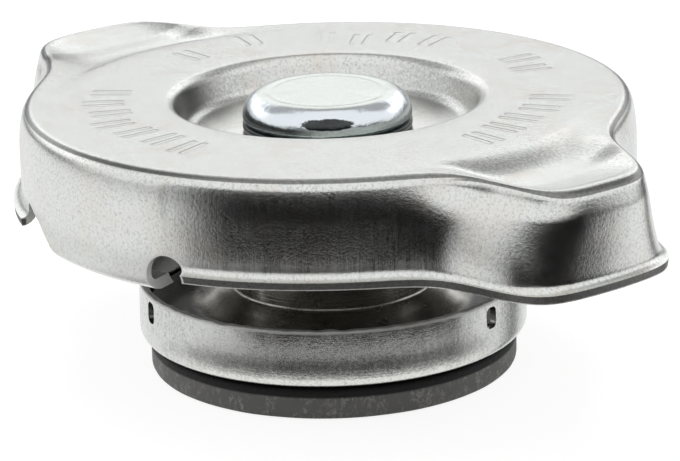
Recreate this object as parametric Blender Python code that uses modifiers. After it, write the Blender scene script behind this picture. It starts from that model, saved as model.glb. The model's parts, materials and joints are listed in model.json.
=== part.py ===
"""Pressure cap for a filler neck, with a turning two-eared cover, in metres with +Z up.

The origin is on the cap's axis at the underside of the lower seal. The ears lie along X.
Angles round the axis are in degrees from -Y towards +X.
"""

import math

import bmesh
import bpy
from mathutils import Matrix, Vector

# Clearance between pieces that touch, and the rounding of small bends and edges
CLEARANCE = 0.0003
SMALL_ROUND = 0.0003

# Lower seal
SEAL_RADIUS = 0.01955
SEAL_HEIGHT = 0.0034
SEAL_EDGE_ROUND = 0.0005
SEAL_LAND_INNER = 0.0113
SEAL_LIP_HEIGHT = 0.0012

# Valve cup
CUP_RADIUS = 0.0205
CUP_TAPER = 0.0001
CUP_HEIGHT = 0.0063
CUP_SHEET = 0.0007
CUP_FOOT_ROUND = 0.0013
CRIMP_COUNT = 3
CRIMP_WIDTH = 0.00125
CRIMP_HEIGHT = 0.0026
CRIMP_DEPTH = 0.0004
CRIMP_BELOW_RIM = 0.0007
CRIMP_REACH = 0.0009
CRIMP_FIRST_ANGLE = -16.7

# Travel of the pressure valve and of the vacuum valve
PRESSURE_LIFT = 0.0014
VACUUM_DROP = 0.0009

# Spring housing
HOUSING_SHELF_WIDTH = 0.0020
HOUSING_FLANGE_PLAY = 0.0005
HOUSING_SHEET = 0.0008
HOUSING_HEIGHT = 0.01675
HOUSING_SHELF_HEIGHT = 0.0010
HOUSING_STEP_HEIGHT = 0.0017
HOUSING_FOOT_WIDTH = 0.0018
HOUSING_FOOT_ROUND = 0.0007
HOUSING_TOP_ROUND = 0.0012

# Retainer of the lower seal
RETAINER_BORE_RADIUS = 0.0030
RETAINER_SHEET = 0.0005
RETAINER_DISH_RADIUS = 0.0085
RETAINER_FLARE_RADIUS = 0.0055

# Vacuum valve
VACUUM_DISC_RADIUS = 0.0062
VACUUM_DISC_HEIGHT = 0.0007
VACUUM_STEM_RADIUS = 0.0012
VACUUM_SEAL_INNER = 0.0033
VACUUM_SEAL_RADIUS = 0.0058
VACUUM_SEAL_HEIGHT = 0.0006
VACUUM_SPRING_WIRE = 0.0005
VACUUM_SPRING_RADIUS = 0.0039
VACUUM_SPRING_RESERVE = 0.0023
VACUUM_SPRING_TURNS = 5
VACUUM_CAP_RADIUS = 0.0046
VACUUM_CAP_SHEET = 0.0006
VACUUM_STEM_HEAD_RADIUS = 0.0019
VACUUM_STEM_HEAD_HEIGHT = 0.0007

# Pressure spring and its seat
PRESSURE_WIRE = 0.0018
PRESSURE_SPRING_PLAY = 0.0005
PRESSURE_SPRING_TURNS = 5
SPRING_SEAT_SHEET = 0.0006
SPRING_SEAT_PLAY = 0.0007

# Neck seal
DIAPHRAGM_PLAY = 0.0007
DIAPHRAGM_SHEET = 0.0004
DIAPHRAGM_LIP_HEIGHT = 0.0012
GASKET_WIDTH = 0.0063
GASKET_HEIGHT = 0.0020
GASKET_EDGE_ROUND = 0.0003
GASKET_RING_PLAY = 0.0026
GASKET_RING_WIDTH = 0.0075
GASKET_RING_SHEET = 0.0004
GASKET_RING_HEIGHT = 0.0014

# Rivet and the washers on it
RIVET_SHANK_RADIUS = 0.0040
RIVET_HEAD_RADIUS = 0.0089
RIVET_HEAD_HEIGHT = 0.0028
RIVET_HEAD_TAPER = 0.0007
RIVET_HEAD_ROUND = 0.0014
RIVET_GROOVE_RADIUS = 0.0064
RIVET_GROOVE_WIDTH = 0.0005
RIVET_GROOVE_DEPTH = 0.00015
RIVET_TAIL_REACH = 0.0016
RIVET_TAIL_HEIGHT = 0.0012
RIVET_TAIL_ROUND = 0.0005
TAIL_WASHER_REACH = 0.0010
TAIL_WASHER_PLAY = 0.0007
TAIL_WASHER_SHEET = 0.0006
FRICTION_WASHER_INNER = 0.0052
FRICTION_WASHER_RADIUS = 0.0125
FRICTION_WASHER_SHEET = 0.0005
HEAD_WASHER_RADIUS = 0.0089
HEAD_WASHER_SHEET = 0.0006

# Cover
COVER_SHEET = 0.00085
RECESS_DEPTH = 0.0036
RECESS_FOOT_RADIUS = 0.0149
RECESS_SLOPE = 0.0012
RECESS_FOOT_ROUND = 0.0010
RECESS_LIP_ROUND = 0.0010
WEB_WIDTH = 0.0020
SHOULDER_ROUND = 0.0014
SKIRT_HEIGHT = 0.0106
RIM_BEND = 0.0009

# Ears of the cover, of which the far one, at -X, has one wider flank
EAR_ANGLE = 90.0
EAR_CREST_REACH = 0.0113
EAR_CREST_HALF_ANGLE = 13.2
EAR_CREST_STEEPNESS = 4
EAR_CREST_DROP = 0.0005
EAR_CREST_LEAN = 20.0
EAR_VALLEY_DEPTH = 0.0019
EAR_RIM_REACH = 0.0109
EAR_RIM_HALF_ANGLE = 17.3
EAR_RIM_STEEPNESS = 7
EAR_RIM_DROP = 0.0003
FAR_EAR_SPREAD = 4.5
EAR_SPAN = 26.0
EAR_SECTIONS = 19

# Locking lugs of the cover
LUG_START_ANGLE = -22.2
LUG_END_ANGLE = 20.7
LUG_DROP = 0.0017
LUG_BEND_ROUND = 0.0015
LUG_REACH = 0.0037
LUG_END_BLEND = 0.4
NOTCH_RADIUS = 0.0023
SLIT_HEIGHT = 0.0024
SLIT_BACK = 0.0003
SLIT_WIDTH = 0.0078

# Facets of a full turn
TURN_STEPS = 36
CUP_TURN_STEPS = 48
SMALL_TURN_STEPS = 24

# Heights worked out from the sizes above, from the seal upwards
CUP_FLOOR = SEAL_HEIGHT + CLEARANCE
CUP_FLOOR_TOP = CUP_FLOOR + CUP_SHEET
CUP_RIM = CUP_FLOOR + CUP_HEIGHT
FLANGE_FLOOR = CUP_FLOOR_TOP + PRESSURE_LIFT + CLEARANCE
FLANGE_TOP = FLANGE_FLOOR + HOUSING_SHEET
HOUSING_TOP = FLANGE_FLOOR + HOUSING_HEIGHT
HOUSING_CEILING = HOUSING_TOP - HOUSING_SHEET
DIAPHRAGM_FLOOR = HOUSING_TOP + CLEARANCE
DIAPHRAGM_TOP = DIAPHRAGM_FLOOR + DIAPHRAGM_SHEET
FRICTION_WASHER_FLOOR = DIAPHRAGM_TOP + CLEARANCE
FRICTION_WASHER_TOP = FRICTION_WASHER_FLOOR + FRICTION_WASHER_SHEET
RECESS_FLOOR = FRICTION_WASHER_TOP + CLEARANCE + COVER_SHEET
DECK_TOP = RECESS_FLOOR + RECESS_DEPTH
SKIRT_RIM = DECK_TOP - SKIRT_HEIGHT
HEAD_WASHER_FLOOR = RECESS_FLOOR + CLEARANCE
HEAD_WASHER_TOP = HEAD_WASHER_FLOOR + HEAD_WASHER_SHEET
RIVET_HEAD_FLOOR = HEAD_WASHER_TOP + CLEARANCE
RIVET_TOP = RIVET_HEAD_FLOOR + RIVET_HEAD_HEIGHT
TAIL_WASHER_TOP = HOUSING_CEILING - CLEARANCE
TAIL_WASHER_FLOOR = TAIL_WASHER_TOP - TAIL_WASHER_SHEET
RIVET_TAIL_TOP = TAIL_WASHER_FLOOR - CLEARANCE
RIVET_BOTTOM = RIVET_TAIL_TOP - RIVET_TAIL_HEIGHT
SHANK_HOLE_RADIUS = RIVET_SHANK_RADIUS + CLEARANCE

# Radii worked out from the sizes above
CUP_FOOT_RADIUS = CUP_RADIUS + CUP_TAPER
CUP_INNER_RADIUS = CUP_RADIUS - CUP_SHEET
RIVET_HEAD_FOOT_RADIUS = RIVET_HEAD_RADIUS - RIVET_HEAD_TAPER
RIVET_TAIL_RADIUS = RIVET_SHANK_RADIUS + RIVET_TAIL_REACH
TAIL_WASHER_RADIUS = RIVET_TAIL_RADIUS + TAIL_WASHER_REACH
PRESSURE_SPRING_RADIUS = TAIL_WASHER_RADIUS + TAIL_WASHER_PLAY + PRESSURE_WIRE / 2
HOUSING_BORE_RADIUS = PRESSURE_SPRING_RADIUS + PRESSURE_WIRE / 2 + PRESSURE_SPRING_PLAY
HOUSING_RADIUS = HOUSING_BORE_RADIUS + HOUSING_SHEET
HOUSING_SHELF_RADIUS = HOUSING_RADIUS + HOUSING_SHELF_WIDTH
HOUSING_FLANGE_RADIUS = CUP_INNER_RADIUS - HOUSING_FLANGE_PLAY
SPRING_SEAT_INNER = RETAINER_FLARE_RADIUS + SPRING_SEAT_PLAY
GASKET_RING_INNER = HOUSING_RADIUS + GASKET_RING_PLAY
GASKET_RING_RADIUS = GASKET_RING_INNER + GASKET_RING_WIDTH
GASKET_INNER = GASKET_RING_RADIUS + CLEARANCE
GASKET_RADIUS = GASKET_INNER + GASKET_WIDTH
DIAPHRAGM_RADIUS = GASKET_RADIUS + CLEARANCE + DIAPHRAGM_SHEET
LUG_INNER_RADIUS = DIAPHRAGM_RADIUS + DIAPHRAGM_PLAY
SKIRT_RADIUS = LUG_INNER_RADIUS + LUG_REACH
DECK_EDGE_RADIUS = SKIRT_RADIUS - SHOULDER_ROUND
WEB_START_RADIUS = DECK_EDGE_RADIUS - WEB_WIDTH
RECESS_LIP_RADIUS = RECESS_FOOT_RADIUS + RECESS_SLOPE


def start_scene():
    """Empty the scene and return the collections for the parts and for their cutters."""
    for obj in list(bpy.data.objects):
        bpy.data.objects.remove(obj)
    parts = bpy.data.collections.new("pressure_cap")
    cutters = bpy.data.collections.new("cutters")
    cutters.hide_render = True
    for collection in (parts, cutters):
        bpy.context.scene.collection.children.link(collection)
    return parts, cutters


PARTS, CUTTERS = start_scene()


def material(name, colour, metallic, roughness):
    """Return a Principled material with one colour."""
    made = bpy.data.materials.new(name)
    made.use_nodes = True
    shader = made.node_tree.nodes["Principled BSDF"]
    shader.inputs["Base Color"].default_value = (*colour, 1.0)
    shader.inputs["Metallic"].default_value = metallic
    shader.inputs["Roughness"].default_value = roughness
    return made


def object_from(name, bm, finish):
    """Put a bmesh into the parts collection as a smooth object with its material."""
    mesh = bpy.data.meshes.new(name)
    bm.to_mesh(mesh)
    bm.free()
    mesh.materials.append(finish)
    obj = bpy.data.objects.new(name, mesh)
    PARTS.objects.link(obj)
    return obj


def smooth(obj, sharp_angle=35.0):
    """Shade an object smooth with sharp edges past an angle."""
    obj.data.shade_smooth()
    obj.data.set_sharp_from_angle(angle=math.radians(sharp_angle))


def rounded(corners, rounds, steps=2):
    """Return the points of an outline whose corners are arcs of the given radii."""
    points = []
    count = len(corners)
    for index, (corner, radius) in enumerate(zip(corners, rounds)):
        here = Vector(corner)
        if not radius:
            points.append(here)
            continue
        back = (Vector(corners[index - 1]) - here).normalized()
        ahead = (Vector(corners[(index + 1) % count]) - here).normalized()
        half = back.angle(ahead) / 2
        reach = radius / math.tan(half)
        centre = here + (back + ahead).normalized() * (radius / math.sin(half))
        first = here + back * reach - centre
        last = here + ahead * reach - centre
        sweep = first.angle_signed(last)
        for step in range(steps + 1):
            turned = first.copy()
            turned.rotate(Matrix.Rotation(-sweep * step / steps, 2))
            points.append(centre + turned)
    return points


def turned(name, outline, finish, closed=True, steps=TURN_STEPS):
    """Turn an outline of radius and height, which runs down its outer side, round Z."""
    bm = bmesh.new()
    verts = [bm.verts.new((radius, 0.0, height)) for radius, height in outline]
    for first, second in zip(verts, verts[1:]):
        bm.edges.new((first, second))
    if closed:
        bm.edges.new((verts[-1], verts[0]))
    obj = object_from(name, bm, finish)
    screw = obj.modifiers.new("turn", "SCREW")
    screw.steps = steps
    screw.render_steps = steps
    screw.use_merge_vertices = True
    screw.merge_threshold = 0.00001
    screw.use_smooth_shade = True
    return obj


def washer(name, inner, outer, floor, top, finish, edge=0.0, steps=TURN_STEPS):
    """Turn a flat ring, with its outer edges rounded where an edge radius is given."""
    corners = [(outer, top), (outer, floor), (inner, floor), (inner, top)]
    return turned(name, rounded(corners, [edge, edge, 0.0, 0.0], steps=2), finish, steps=steps)


def coil(name, radius, wire, floor, top, turns, finish, steps_per_turn=16):
    """Wind a spring with one closed turn at each end between two heights."""
    low = floor + wire / 2
    height = top - wire / 2 - low
    end_rise = wire + CLEARANCE / 2
    active_rise = (height - 2 * end_rise) / (turns - 2)
    curve = bpy.data.curves.new(name, "CURVE")
    curve.dimensions = "3D"
    curve.bevel_depth = wire / 2
    curve.bevel_resolution = 2
    curve.use_fill_caps = True
    spline = curve.splines.new("POLY")
    count = turns * steps_per_turn + 1
    spline.points.add(count - 1)
    for index in range(count):
        turn = index / steps_per_turn
        rise = min(turn, 1) * end_rise
        rise += min(max(turn - 1, 0), turns - 2) * active_rise
        rise += max(turn - turns + 1, 0) * end_rise
        angle = 2 * math.pi * turn
        spline.points[index].co = (radius * math.cos(angle), radius * math.sin(angle), low + rise, 1)
    curve.materials.append(finish)
    obj = bpy.data.objects.new(name, curve)
    PARTS.objects.link(obj)
    return obj


def around(angle, radius, height):
    """Return the point at an angle in degrees from -Y towards +X."""
    turn = math.radians(angle)
    return Vector((radius * math.sin(turn), -radius * math.cos(turn), height))


def mix(first, second, share):
    return first + (second - first) * share


def cutter_box(name, size, angle, radius, height):
    """Make a cutter block whose X runs radially, at an angle round the axis."""
    bpy.ops.mesh.primitive_cube_add(size=1.0)
    block = bpy.context.object
    place(block, name, angle, radius, height, Matrix.Diagonal((*size, 1.0)))
    return block


def cutter_pin(name, radius_of_pin, length, angle, radius, height):
    """Make a cutter cylinder whose axis runs radially."""
    bpy.ops.mesh.primitive_cylinder_add(vertices=24, radius=radius_of_pin, depth=length)
    pin = bpy.context.object
    place(pin, name, angle, radius, height, Matrix.Rotation(math.pi / 2, 4, "Y"))
    return pin


def place(obj, name, angle, radius, height, shape):
    """Turn a cutter to face outwards at an angle and hide it from the render."""
    obj.name = name
    facing = Matrix.Rotation(math.radians(angle - 90.0), 4, "Z")
    obj.data.transform(Matrix.Translation(around(angle, radius, height)) @ facing @ shape)
    obj.hide_render = True
    obj.display_type = "WIRE"
    for collection in list(obj.users_collection):
        collection.objects.unlink(obj)
    CUTTERS.objects.link(obj)


def carve(obj, cutter, operation="DIFFERENCE"):
    """Add an exact Boolean with a cutter."""
    boolean = obj.modifiers.new(cutter.name, "BOOLEAN")
    boolean.operation = operation
    boolean.solver = "EXACT"
    boolean.object = cutter


# Cover: a pressed shell lofted round the axis, because its ears make each section unlike the next

def folded_half_turn(angle, centre):
    """Return the angle from the nearer of two opposite features, between -90 and 90."""
    return (angle - centre + 90.0) % 180.0 - 90.0


def bulge(angle, half_angle, steepness):
    """Return 1 on an ear's middle, a half at the half angle, and 0 away from it."""
    from_ear = abs(folded_half_turn(angle, EAR_ANGLE))
    past_far_ear = (angle + EAR_ANGLE) % 360.0
    wider = FAR_EAR_SPREAD if past_far_ear < 90.0 else 0.0
    return 1.0 / (1.0 + (from_ear / (half_angle + wider)) ** steepness)


def is_lug(angle):
    middle = (LUG_START_ANGLE + LUG_END_ANGLE) / 2
    return abs(folded_half_turn(angle, middle)) < (LUG_END_ANGLE - LUG_START_ANGLE) / 2


def recess_profile():
    """Return the cover's profile from its hole, up the recess wall, to the flat deck."""
    corners = [
        (SHANK_HOLE_RADIUS + CLEARANCE, RECESS_FLOOR),
        (RECESS_FOOT_RADIUS, RECESS_FLOOR),
        (RECESS_LIP_RADIUS, DECK_TOP),
        (WEB_START_RADIUS, DECK_TOP),
    ]
    return rounded(corners, [0.0, RECESS_FOOT_ROUND, RECESS_LIP_ROUND, 0.0], steps=2)


def web_profile(crest, round_radius):
    """Return the profile from the deck over the shoulder, which on an ear is a valley and a crest."""
    lean = crest * EAR_CREST_LEAN
    centre_radius = DECK_EDGE_RADIUS + crest * EAR_CREST_REACH
    centre_height = DECK_TOP - crest * EAR_CREST_DROP - round_radius
    arc = []
    for share in (0.0, 0.3, 0.6, 1.0):
        turn = math.radians(mix(90.0 + lean, 0.0, share))
        arc.append(
            (
                centre_radius + round_radius * math.cos(turn),
                centre_height + round_radius * math.sin(turn),
            )
        )
    web = []
    for share in (0.12, 0.26, 0.46, 0.72):
        dip = crest * EAR_VALLEY_DEPTH * math.sin(math.pi * share**0.6)
        radius = mix(WEB_START_RADIUS, arc[0][0], share)
        web.append((radius, mix(DECK_TOP, arc[0][1], share) - dip))
    return web + arc


def wall_profile(top, rim):
    """Return the skirt below the shoulder, with its rim bent outwards."""
    bottom_radius = SKIRT_RADIUS + rim * EAR_RIM_REACH
    edge = SKIRT_RIM - rim * EAR_RIM_DROP + COVER_SHEET
    steps = [(mix(top[1], edge, share), 0.0) for share in (0.25, 0.50, 0.72)]
    for turn in (0.0, 35.0, 65.0, 90.0):
        bend = math.radians(turn)
        steps.append((edge + RIM_BEND * (1.0 - math.sin(bend)), RIM_BEND * (1.0 - math.cos(bend))))
    points = []
    for height, out in steps:
        share = (top[1] - height) / (top[1] - edge)
        points.append((mix(top[0], bottom_radius, share**1.3) + out, height))
    return points


def lug_profile(top):
    """Return the skirt below the shoulder where its edge is bent inwards as a locking lug."""
    floor = SKIRT_RIM - LUG_DROP
    bend = LUG_BEND_ROUND
    centre_radius = SKIRT_RADIUS - bend
    centre_height = floor + bend
    points = [(SKIRT_RADIUS, mix(top[1], centre_height, share)) for share in (0.25, 0.50, 0.75)]
    for turn in (0.0, -45.0, -90.0):
        angle = math.radians(turn)
        points.append((centre_radius + bend * math.cos(angle), centre_height + bend * math.sin(angle)))
    points.append((LUG_INNER_RADIUS, floor))
    return points


def cover_section(angle):
    """Return the points of the cover's outer face at one angle."""
    crest = bulge(angle, EAR_CREST_HALF_ANGLE, EAR_CREST_STEEPNESS)
    rim = bulge(angle, EAR_RIM_HALF_ANGLE, EAR_RIM_STEEPNESS)
    profile = recess_profile() + web_profile(crest, SHOULDER_ROUND)
    top = profile[-1]
    profile += lug_profile(top) if is_lug(angle) else wall_profile(top, rim)
    return [around(angle, radius, height) for radius, height in profile]


def between(low, high, count):
    """Return evenly spaced angles inside a span, without its ends."""
    return [mix(low, high, step / (count + 1)) for step in range(1, count + 1)]


def cover_angles():
    """Return the angles of the sections, close together on the ears' flanks and the lugs' ends."""
    lug_start = LUG_START_ANGLE + 180.0
    lug_end = LUG_END_ANGLE + 180.0
    ear_low = EAR_ANGLE - EAR_SPAN
    ear_high = EAR_ANGLE + EAR_SPAN
    half = between(LUG_END_ANGLE, ear_low, 6) + between(ear_high, lug_start, 6)
    half += between(lug_start, lug_end, 7)
    half += [ear_low] + between(ear_low, ear_high, EAR_SECTIONS) + [ear_high]
    for end in (lug_start, lug_end):
        half += [end - LUG_END_BLEND, end + LUG_END_BLEND]
    both = [angle % 360.0 for angle in half] + [(angle + 180.0) % 360.0 for angle in half]
    return sorted(both)


def make_cover(finish):
    """Loft the cover's outer face, thicken it inwards and cut the ends of its lugs free."""
    bm = bmesh.new()
    rings = [[bm.verts.new(point) for point in cover_section(angle)] for angle in cover_angles()]
    for ring, following in zip(rings, rings[1:] + rings[:1]):
        for index in range(len(ring) - 1):
            bm.faces.new((ring[index], ring[index + 1], following[index + 1], following[index]))
    bmesh.ops.recalc_face_normals(bm, faces=bm.faces)
    cover = object_from("cover_shell", bm, finish)
    sheet = cover.modifiers.new("sheet", "SOLIDIFY")
    sheet.thickness = COVER_SHEET
    sheet.offset = -1.0
    sheet.use_even_offset = True
    cut_depth = 4 * LUG_REACH
    for number, turn in enumerate((0.0, 180.0)):
        notch = cutter_pin(
            f"notch_cutter_{number}",
            NOTCH_RADIUS,
            cut_depth,
            LUG_END_ANGLE + turn,
            SKIRT_RADIUS,
            SKIRT_RIM,
        )
        carve(cover, notch)
        carve(cover, slit_cutter(number, LUG_START_ANGLE + turn, cut_depth))
    smooth(cover)
    return cover


def slit_cutter(number, angle, depth):
    """Make the slanted cutter that frees the other end of a lug and slopes its corner."""
    floor = SKIRT_RIM - 2 * LUG_DROP
    top = SKIRT_RIM + SLIT_HEIGHT
    bend_top = SKIRT_RIM - LUG_DROP + LUG_BEND_ROUND
    outline = [
        (-SLIT_BACK, top),
        (-SLIT_BACK, floor),
        (SLIT_WIDTH, floor),
        (SLIT_WIDTH * 0.72, bend_top),
        (SLIT_WIDTH * 0.42, mix(bend_top, top, 0.6)),
        (SLIT_BACK, top),
    ]
    bm = bmesh.new()
    face = bm.faces.new([bm.verts.new((-depth / 2, across, height)) for across, height in outline])
    pulled = bmesh.ops.extrude_face_region(bm, geom=[face])["geom"]
    moved = [item for item in pulled if isinstance(item, bmesh.types.BMVert)]
    bmesh.ops.translate(bm, verts=moved, vec=(depth, 0.0, 0.0))
    bmesh.ops.recalc_face_normals(bm, faces=bm.faces)
    mesh = bpy.data.meshes.new(f"slit_cutter_{number}")
    bm.to_mesh(mesh)
    bm.free()
    cutter = bpy.data.objects.new(mesh.name, mesh)
    CUTTERS.objects.link(cutter)
    place(cutter, mesh.name, angle, SKIRT_RADIUS, 0.0, Matrix.Identity(4))
    return cutter


# Pieces turned round the axis

def make_rivet(finish):
    """Turn the rivet that holds the cover, the neck seal and the spring housing together."""
    groove_in = RIVET_GROOVE_RADIUS - RIVET_GROOVE_WIDTH / 2
    groove_out = RIVET_GROOVE_RADIUS + RIVET_GROOVE_WIDTH / 2
    corners = [
        (0.0, RIVET_TOP),
        (groove_in, RIVET_TOP),
        (RIVET_GROOVE_RADIUS, RIVET_TOP - RIVET_GROOVE_DEPTH),
        (groove_out, RIVET_TOP),
        (RIVET_HEAD_RADIUS, RIVET_TOP),
        (RIVET_HEAD_RADIUS, mix(RIVET_HEAD_FLOOR, RIVET_TOP, 0.4)),
        (RIVET_HEAD_FOOT_RADIUS, RIVET_HEAD_FLOOR),
        (RIVET_SHANK_RADIUS, RIVET_HEAD_FLOOR),
        (RIVET_SHANK_RADIUS, RIVET_TAIL_TOP),
        (RIVET_TAIL_RADIUS, RIVET_TAIL_TOP),
        (RIVET_TAIL_RADIUS, RIVET_BOTTOM),
        (0.0, RIVET_BOTTOM),
    ]
    rounds = [0.0] * len(corners)
    rounds[4] = RIVET_HEAD_ROUND
    rounds[5] = RIVET_HEAD_ROUND
    rounds[10] = RIVET_TAIL_ROUND
    return turned("centre_rivet", rounded(corners, rounds), finish, closed=False)


def make_housing(finish):
    """Turn the spring housing, an inverted pan whose flange is caught in the valve cup."""
    shelf = FLANGE_TOP + HOUSING_SHELF_HEIGHT
    step = FLANGE_TOP + HOUSING_STEP_HEIGHT
    foot = HOUSING_SHELF_RADIUS + HOUSING_FOOT_WIDTH
    sheet = HOUSING_SHEET
    corners = [
        (HOUSING_RADIUS, HOUSING_TOP),
        (HOUSING_RADIUS, step),
        (HOUSING_SHELF_RADIUS, shelf),
        (foot, FLANGE_TOP),
        (HOUSING_FLANGE_RADIUS, FLANGE_TOP),
        (HOUSING_FLANGE_RADIUS, FLANGE_FLOOR),
        (foot - sheet / 2, FLANGE_FLOOR),
        (HOUSING_SHELF_RADIUS - sheet / 2, shelf - sheet),
        (HOUSING_BORE_RADIUS, step - sheet),
        (HOUSING_BORE_RADIUS, HOUSING_CEILING),
        (SHANK_HOLE_RADIUS, HOUSING_CEILING),
        (SHANK_HOLE_RADIUS, HOUSING_TOP),
    ]
    rounds = [0.0] * len(corners)
    rounds[0] = HOUSING_TOP_ROUND
    rounds[1] = SMALL_ROUND
    rounds[2] = SMALL_ROUND
    rounds[3] = HOUSING_FOOT_ROUND
    rounds[9] = HOUSING_TOP_ROUND - sheet
    return turned("spring_housing", rounded(corners, rounds), finish)


def make_cup(finish):
    """Turn the valve cup and stake its wall inwards over the housing's flange."""
    corners = [
        (CUP_RADIUS, CUP_RIM),
        (CUP_FOOT_RADIUS, CUP_FLOOR + 2 * CUP_FOOT_ROUND),
        (CUP_FOOT_RADIUS, CUP_FLOOR),
        (RETAINER_BORE_RADIUS + RETAINER_SHEET + CLEARANCE, CUP_FLOOR),
        (RETAINER_BORE_RADIUS + RETAINER_SHEET + CLEARANCE, CUP_FLOOR_TOP),
        (CUP_INNER_RADIUS, CUP_FLOOR_TOP),
        (CUP_INNER_RADIUS, CUP_RIM),
    ]
    rounds = [0.0, 0.0, CUP_FOOT_ROUND, 0.0, 0.0, SMALL_ROUND, 0.0]
    cup = turned("valve_cup", rounded(corners, rounds), finish, steps=CUP_TURN_STEPS)
    slot_middle = CUP_RIM - CRIMP_BELOW_RIM - CRIMP_HEIGHT / 2
    tooth_floor = FLANGE_TOP + CLEARANCE
    tooth_top = CUP_RIM - CRIMP_BELOW_RIM
    overlap = CUP_SHEET / 2
    for number in range(CRIMP_COUNT):
        angle = CRIMP_FIRST_ANGLE + number * 360.0 / CRIMP_COUNT
        tooth = cutter_box(
            f"crimp_tooth_{number}",
            (CRIMP_REACH + overlap, CRIMP_WIDTH, tooth_top - tooth_floor),
            angle,
            CUP_INNER_RADIUS + overlap - (CRIMP_REACH + overlap) / 2,
            (tooth_floor + tooth_top) / 2,
        )
        carve(cup, tooth, "UNION")
        slot = cutter_box(
            f"crimp_slot_{number}",
            (2 * CRIMP_DEPTH, CRIMP_WIDTH, CRIMP_HEIGHT),
            angle,
            CUP_RADIUS + (CUP_FOOT_RADIUS - CUP_RADIUS) / 4,
            slot_middle,
        )
        carve(cup, slot)
    return cup


def make_seal(finish):
    """Turn the lower seal, thinned in the middle where its retainer holds it."""
    lip_floor = SEAL_HEIGHT - SEAL_LIP_HEIGHT
    inner = RETAINER_DISH_RADIUS + CLEARANCE
    corners = [
        (SEAL_RADIUS, SEAL_HEIGHT),
        (SEAL_RADIUS, 0.0),
        (SEAL_LAND_INNER, 0.0),
        (SEAL_LAND_INNER, lip_floor),
        (inner, lip_floor),
        (inner, SEAL_HEIGHT),
    ]
    rounds = [SEAL_EDGE_ROUND, SEAL_EDGE_ROUND, 0.0, 0.0, 0.0, 0.0]
    return turned("lower_seal", rounded(corners, rounds), finish)


def make_retainer(finish):
    """Turn the dished eyelet that clamps the lower seal to the cup."""
    top = CUP_FLOOR - CLEARANCE
    bore = RETAINER_BORE_RADIUS
    sheet = RETAINER_SHEET
    flange_top = SEAL_HEIGHT - SEAL_LIP_HEIGHT - CLEARANCE
    flare_floor = CUP_FLOOR_TOP + CLEARANCE
    flange_radius = SEAL_LAND_INNER - CLEARANCE
    corners = [
        (RETAINER_FLARE_RADIUS, flare_floor + sheet),
        (RETAINER_FLARE_RADIUS, flare_floor),
        (bore + sheet, flare_floor),
        (bore + sheet, top),
        (RETAINER_DISH_RADIUS, top),
        (RETAINER_DISH_RADIUS, flange_top),
        (flange_radius, flange_top),
        (flange_radius, flange_top - sheet),
        (RETAINER_DISH_RADIUS - sheet, flange_top - sheet),
        (RETAINER_DISH_RADIUS - sheet, top - sheet),
        (bore, top - sheet),
        (bore, flare_floor + sheet),
    ]
    return turned("seal_retainer", corners, finish, steps=SMALL_TURN_STEPS)


def make_vacuum_valve(brass, rubber, steel, spring_steel):
    """Turn the vacuum valve with its stem, its rubber face, and the spring and cap that lift it."""
    seat = CUP_FLOOR - CLEARANCE - RETAINER_SHEET
    face_top = seat - CLEARANCE
    face_floor = face_top - VACUUM_SEAL_HEIGHT
    disc_top = face_floor - CLEARANCE
    disc_floor = disc_top - VACUUM_DISC_HEIGHT
    flare_top = CUP_FLOOR_TOP + CLEARANCE + RETAINER_SHEET
    spring_floor = flare_top + CLEARANCE
    solid_height = VACUUM_SPRING_TURNS * VACUUM_SPRING_WIRE
    spring_top = spring_floor + solid_height + VACUUM_DROP + VACUUM_SPRING_RESERVE
    cap_floor = spring_top + CLEARANCE
    cap_top = cap_floor + VACUUM_CAP_SHEET
    head_floor = cap_top + CLEARANCE
    outline = [
        (0.0, head_floor + VACUUM_STEM_HEAD_HEIGHT),
        (VACUUM_STEM_HEAD_RADIUS, head_floor + VACUUM_STEM_HEAD_HEIGHT),
        (VACUUM_STEM_HEAD_RADIUS, head_floor),
        (VACUUM_STEM_RADIUS, head_floor),
        (VACUUM_STEM_RADIUS, disc_top),
        (VACUUM_DISC_RADIUS, disc_top),
        (VACUUM_DISC_RADIUS, disc_floor),
        (0.0, disc_floor),
    ]
    rounds = [0.0, SMALL_ROUND, 0.0, 0.0, 0.0, 0.0, SMALL_ROUND, 0.0]
    valve = rounded(outline, rounds)
    steps = SMALL_TURN_STEPS
    turned("vacuum_valve", valve, brass, closed=False, steps=steps)
    washer("vacuum_seal", VACUUM_SEAL_INNER, VACUUM_SEAL_RADIUS, face_floor, face_top, rubber, steps=steps)
    coil(
        "vacuum_spring",
        VACUUM_SPRING_RADIUS,
        VACUUM_SPRING_WIRE,
        spring_floor,
        spring_top,
        VACUUM_SPRING_TURNS,
        spring_steel,
        steps_per_turn=10,
    )
    bore = VACUUM_STEM_RADIUS + CLEARANCE
    washer("vacuum_spring_cap", bore, VACUUM_CAP_RADIUS, cap_floor, cap_top, steel, steps=steps)


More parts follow.
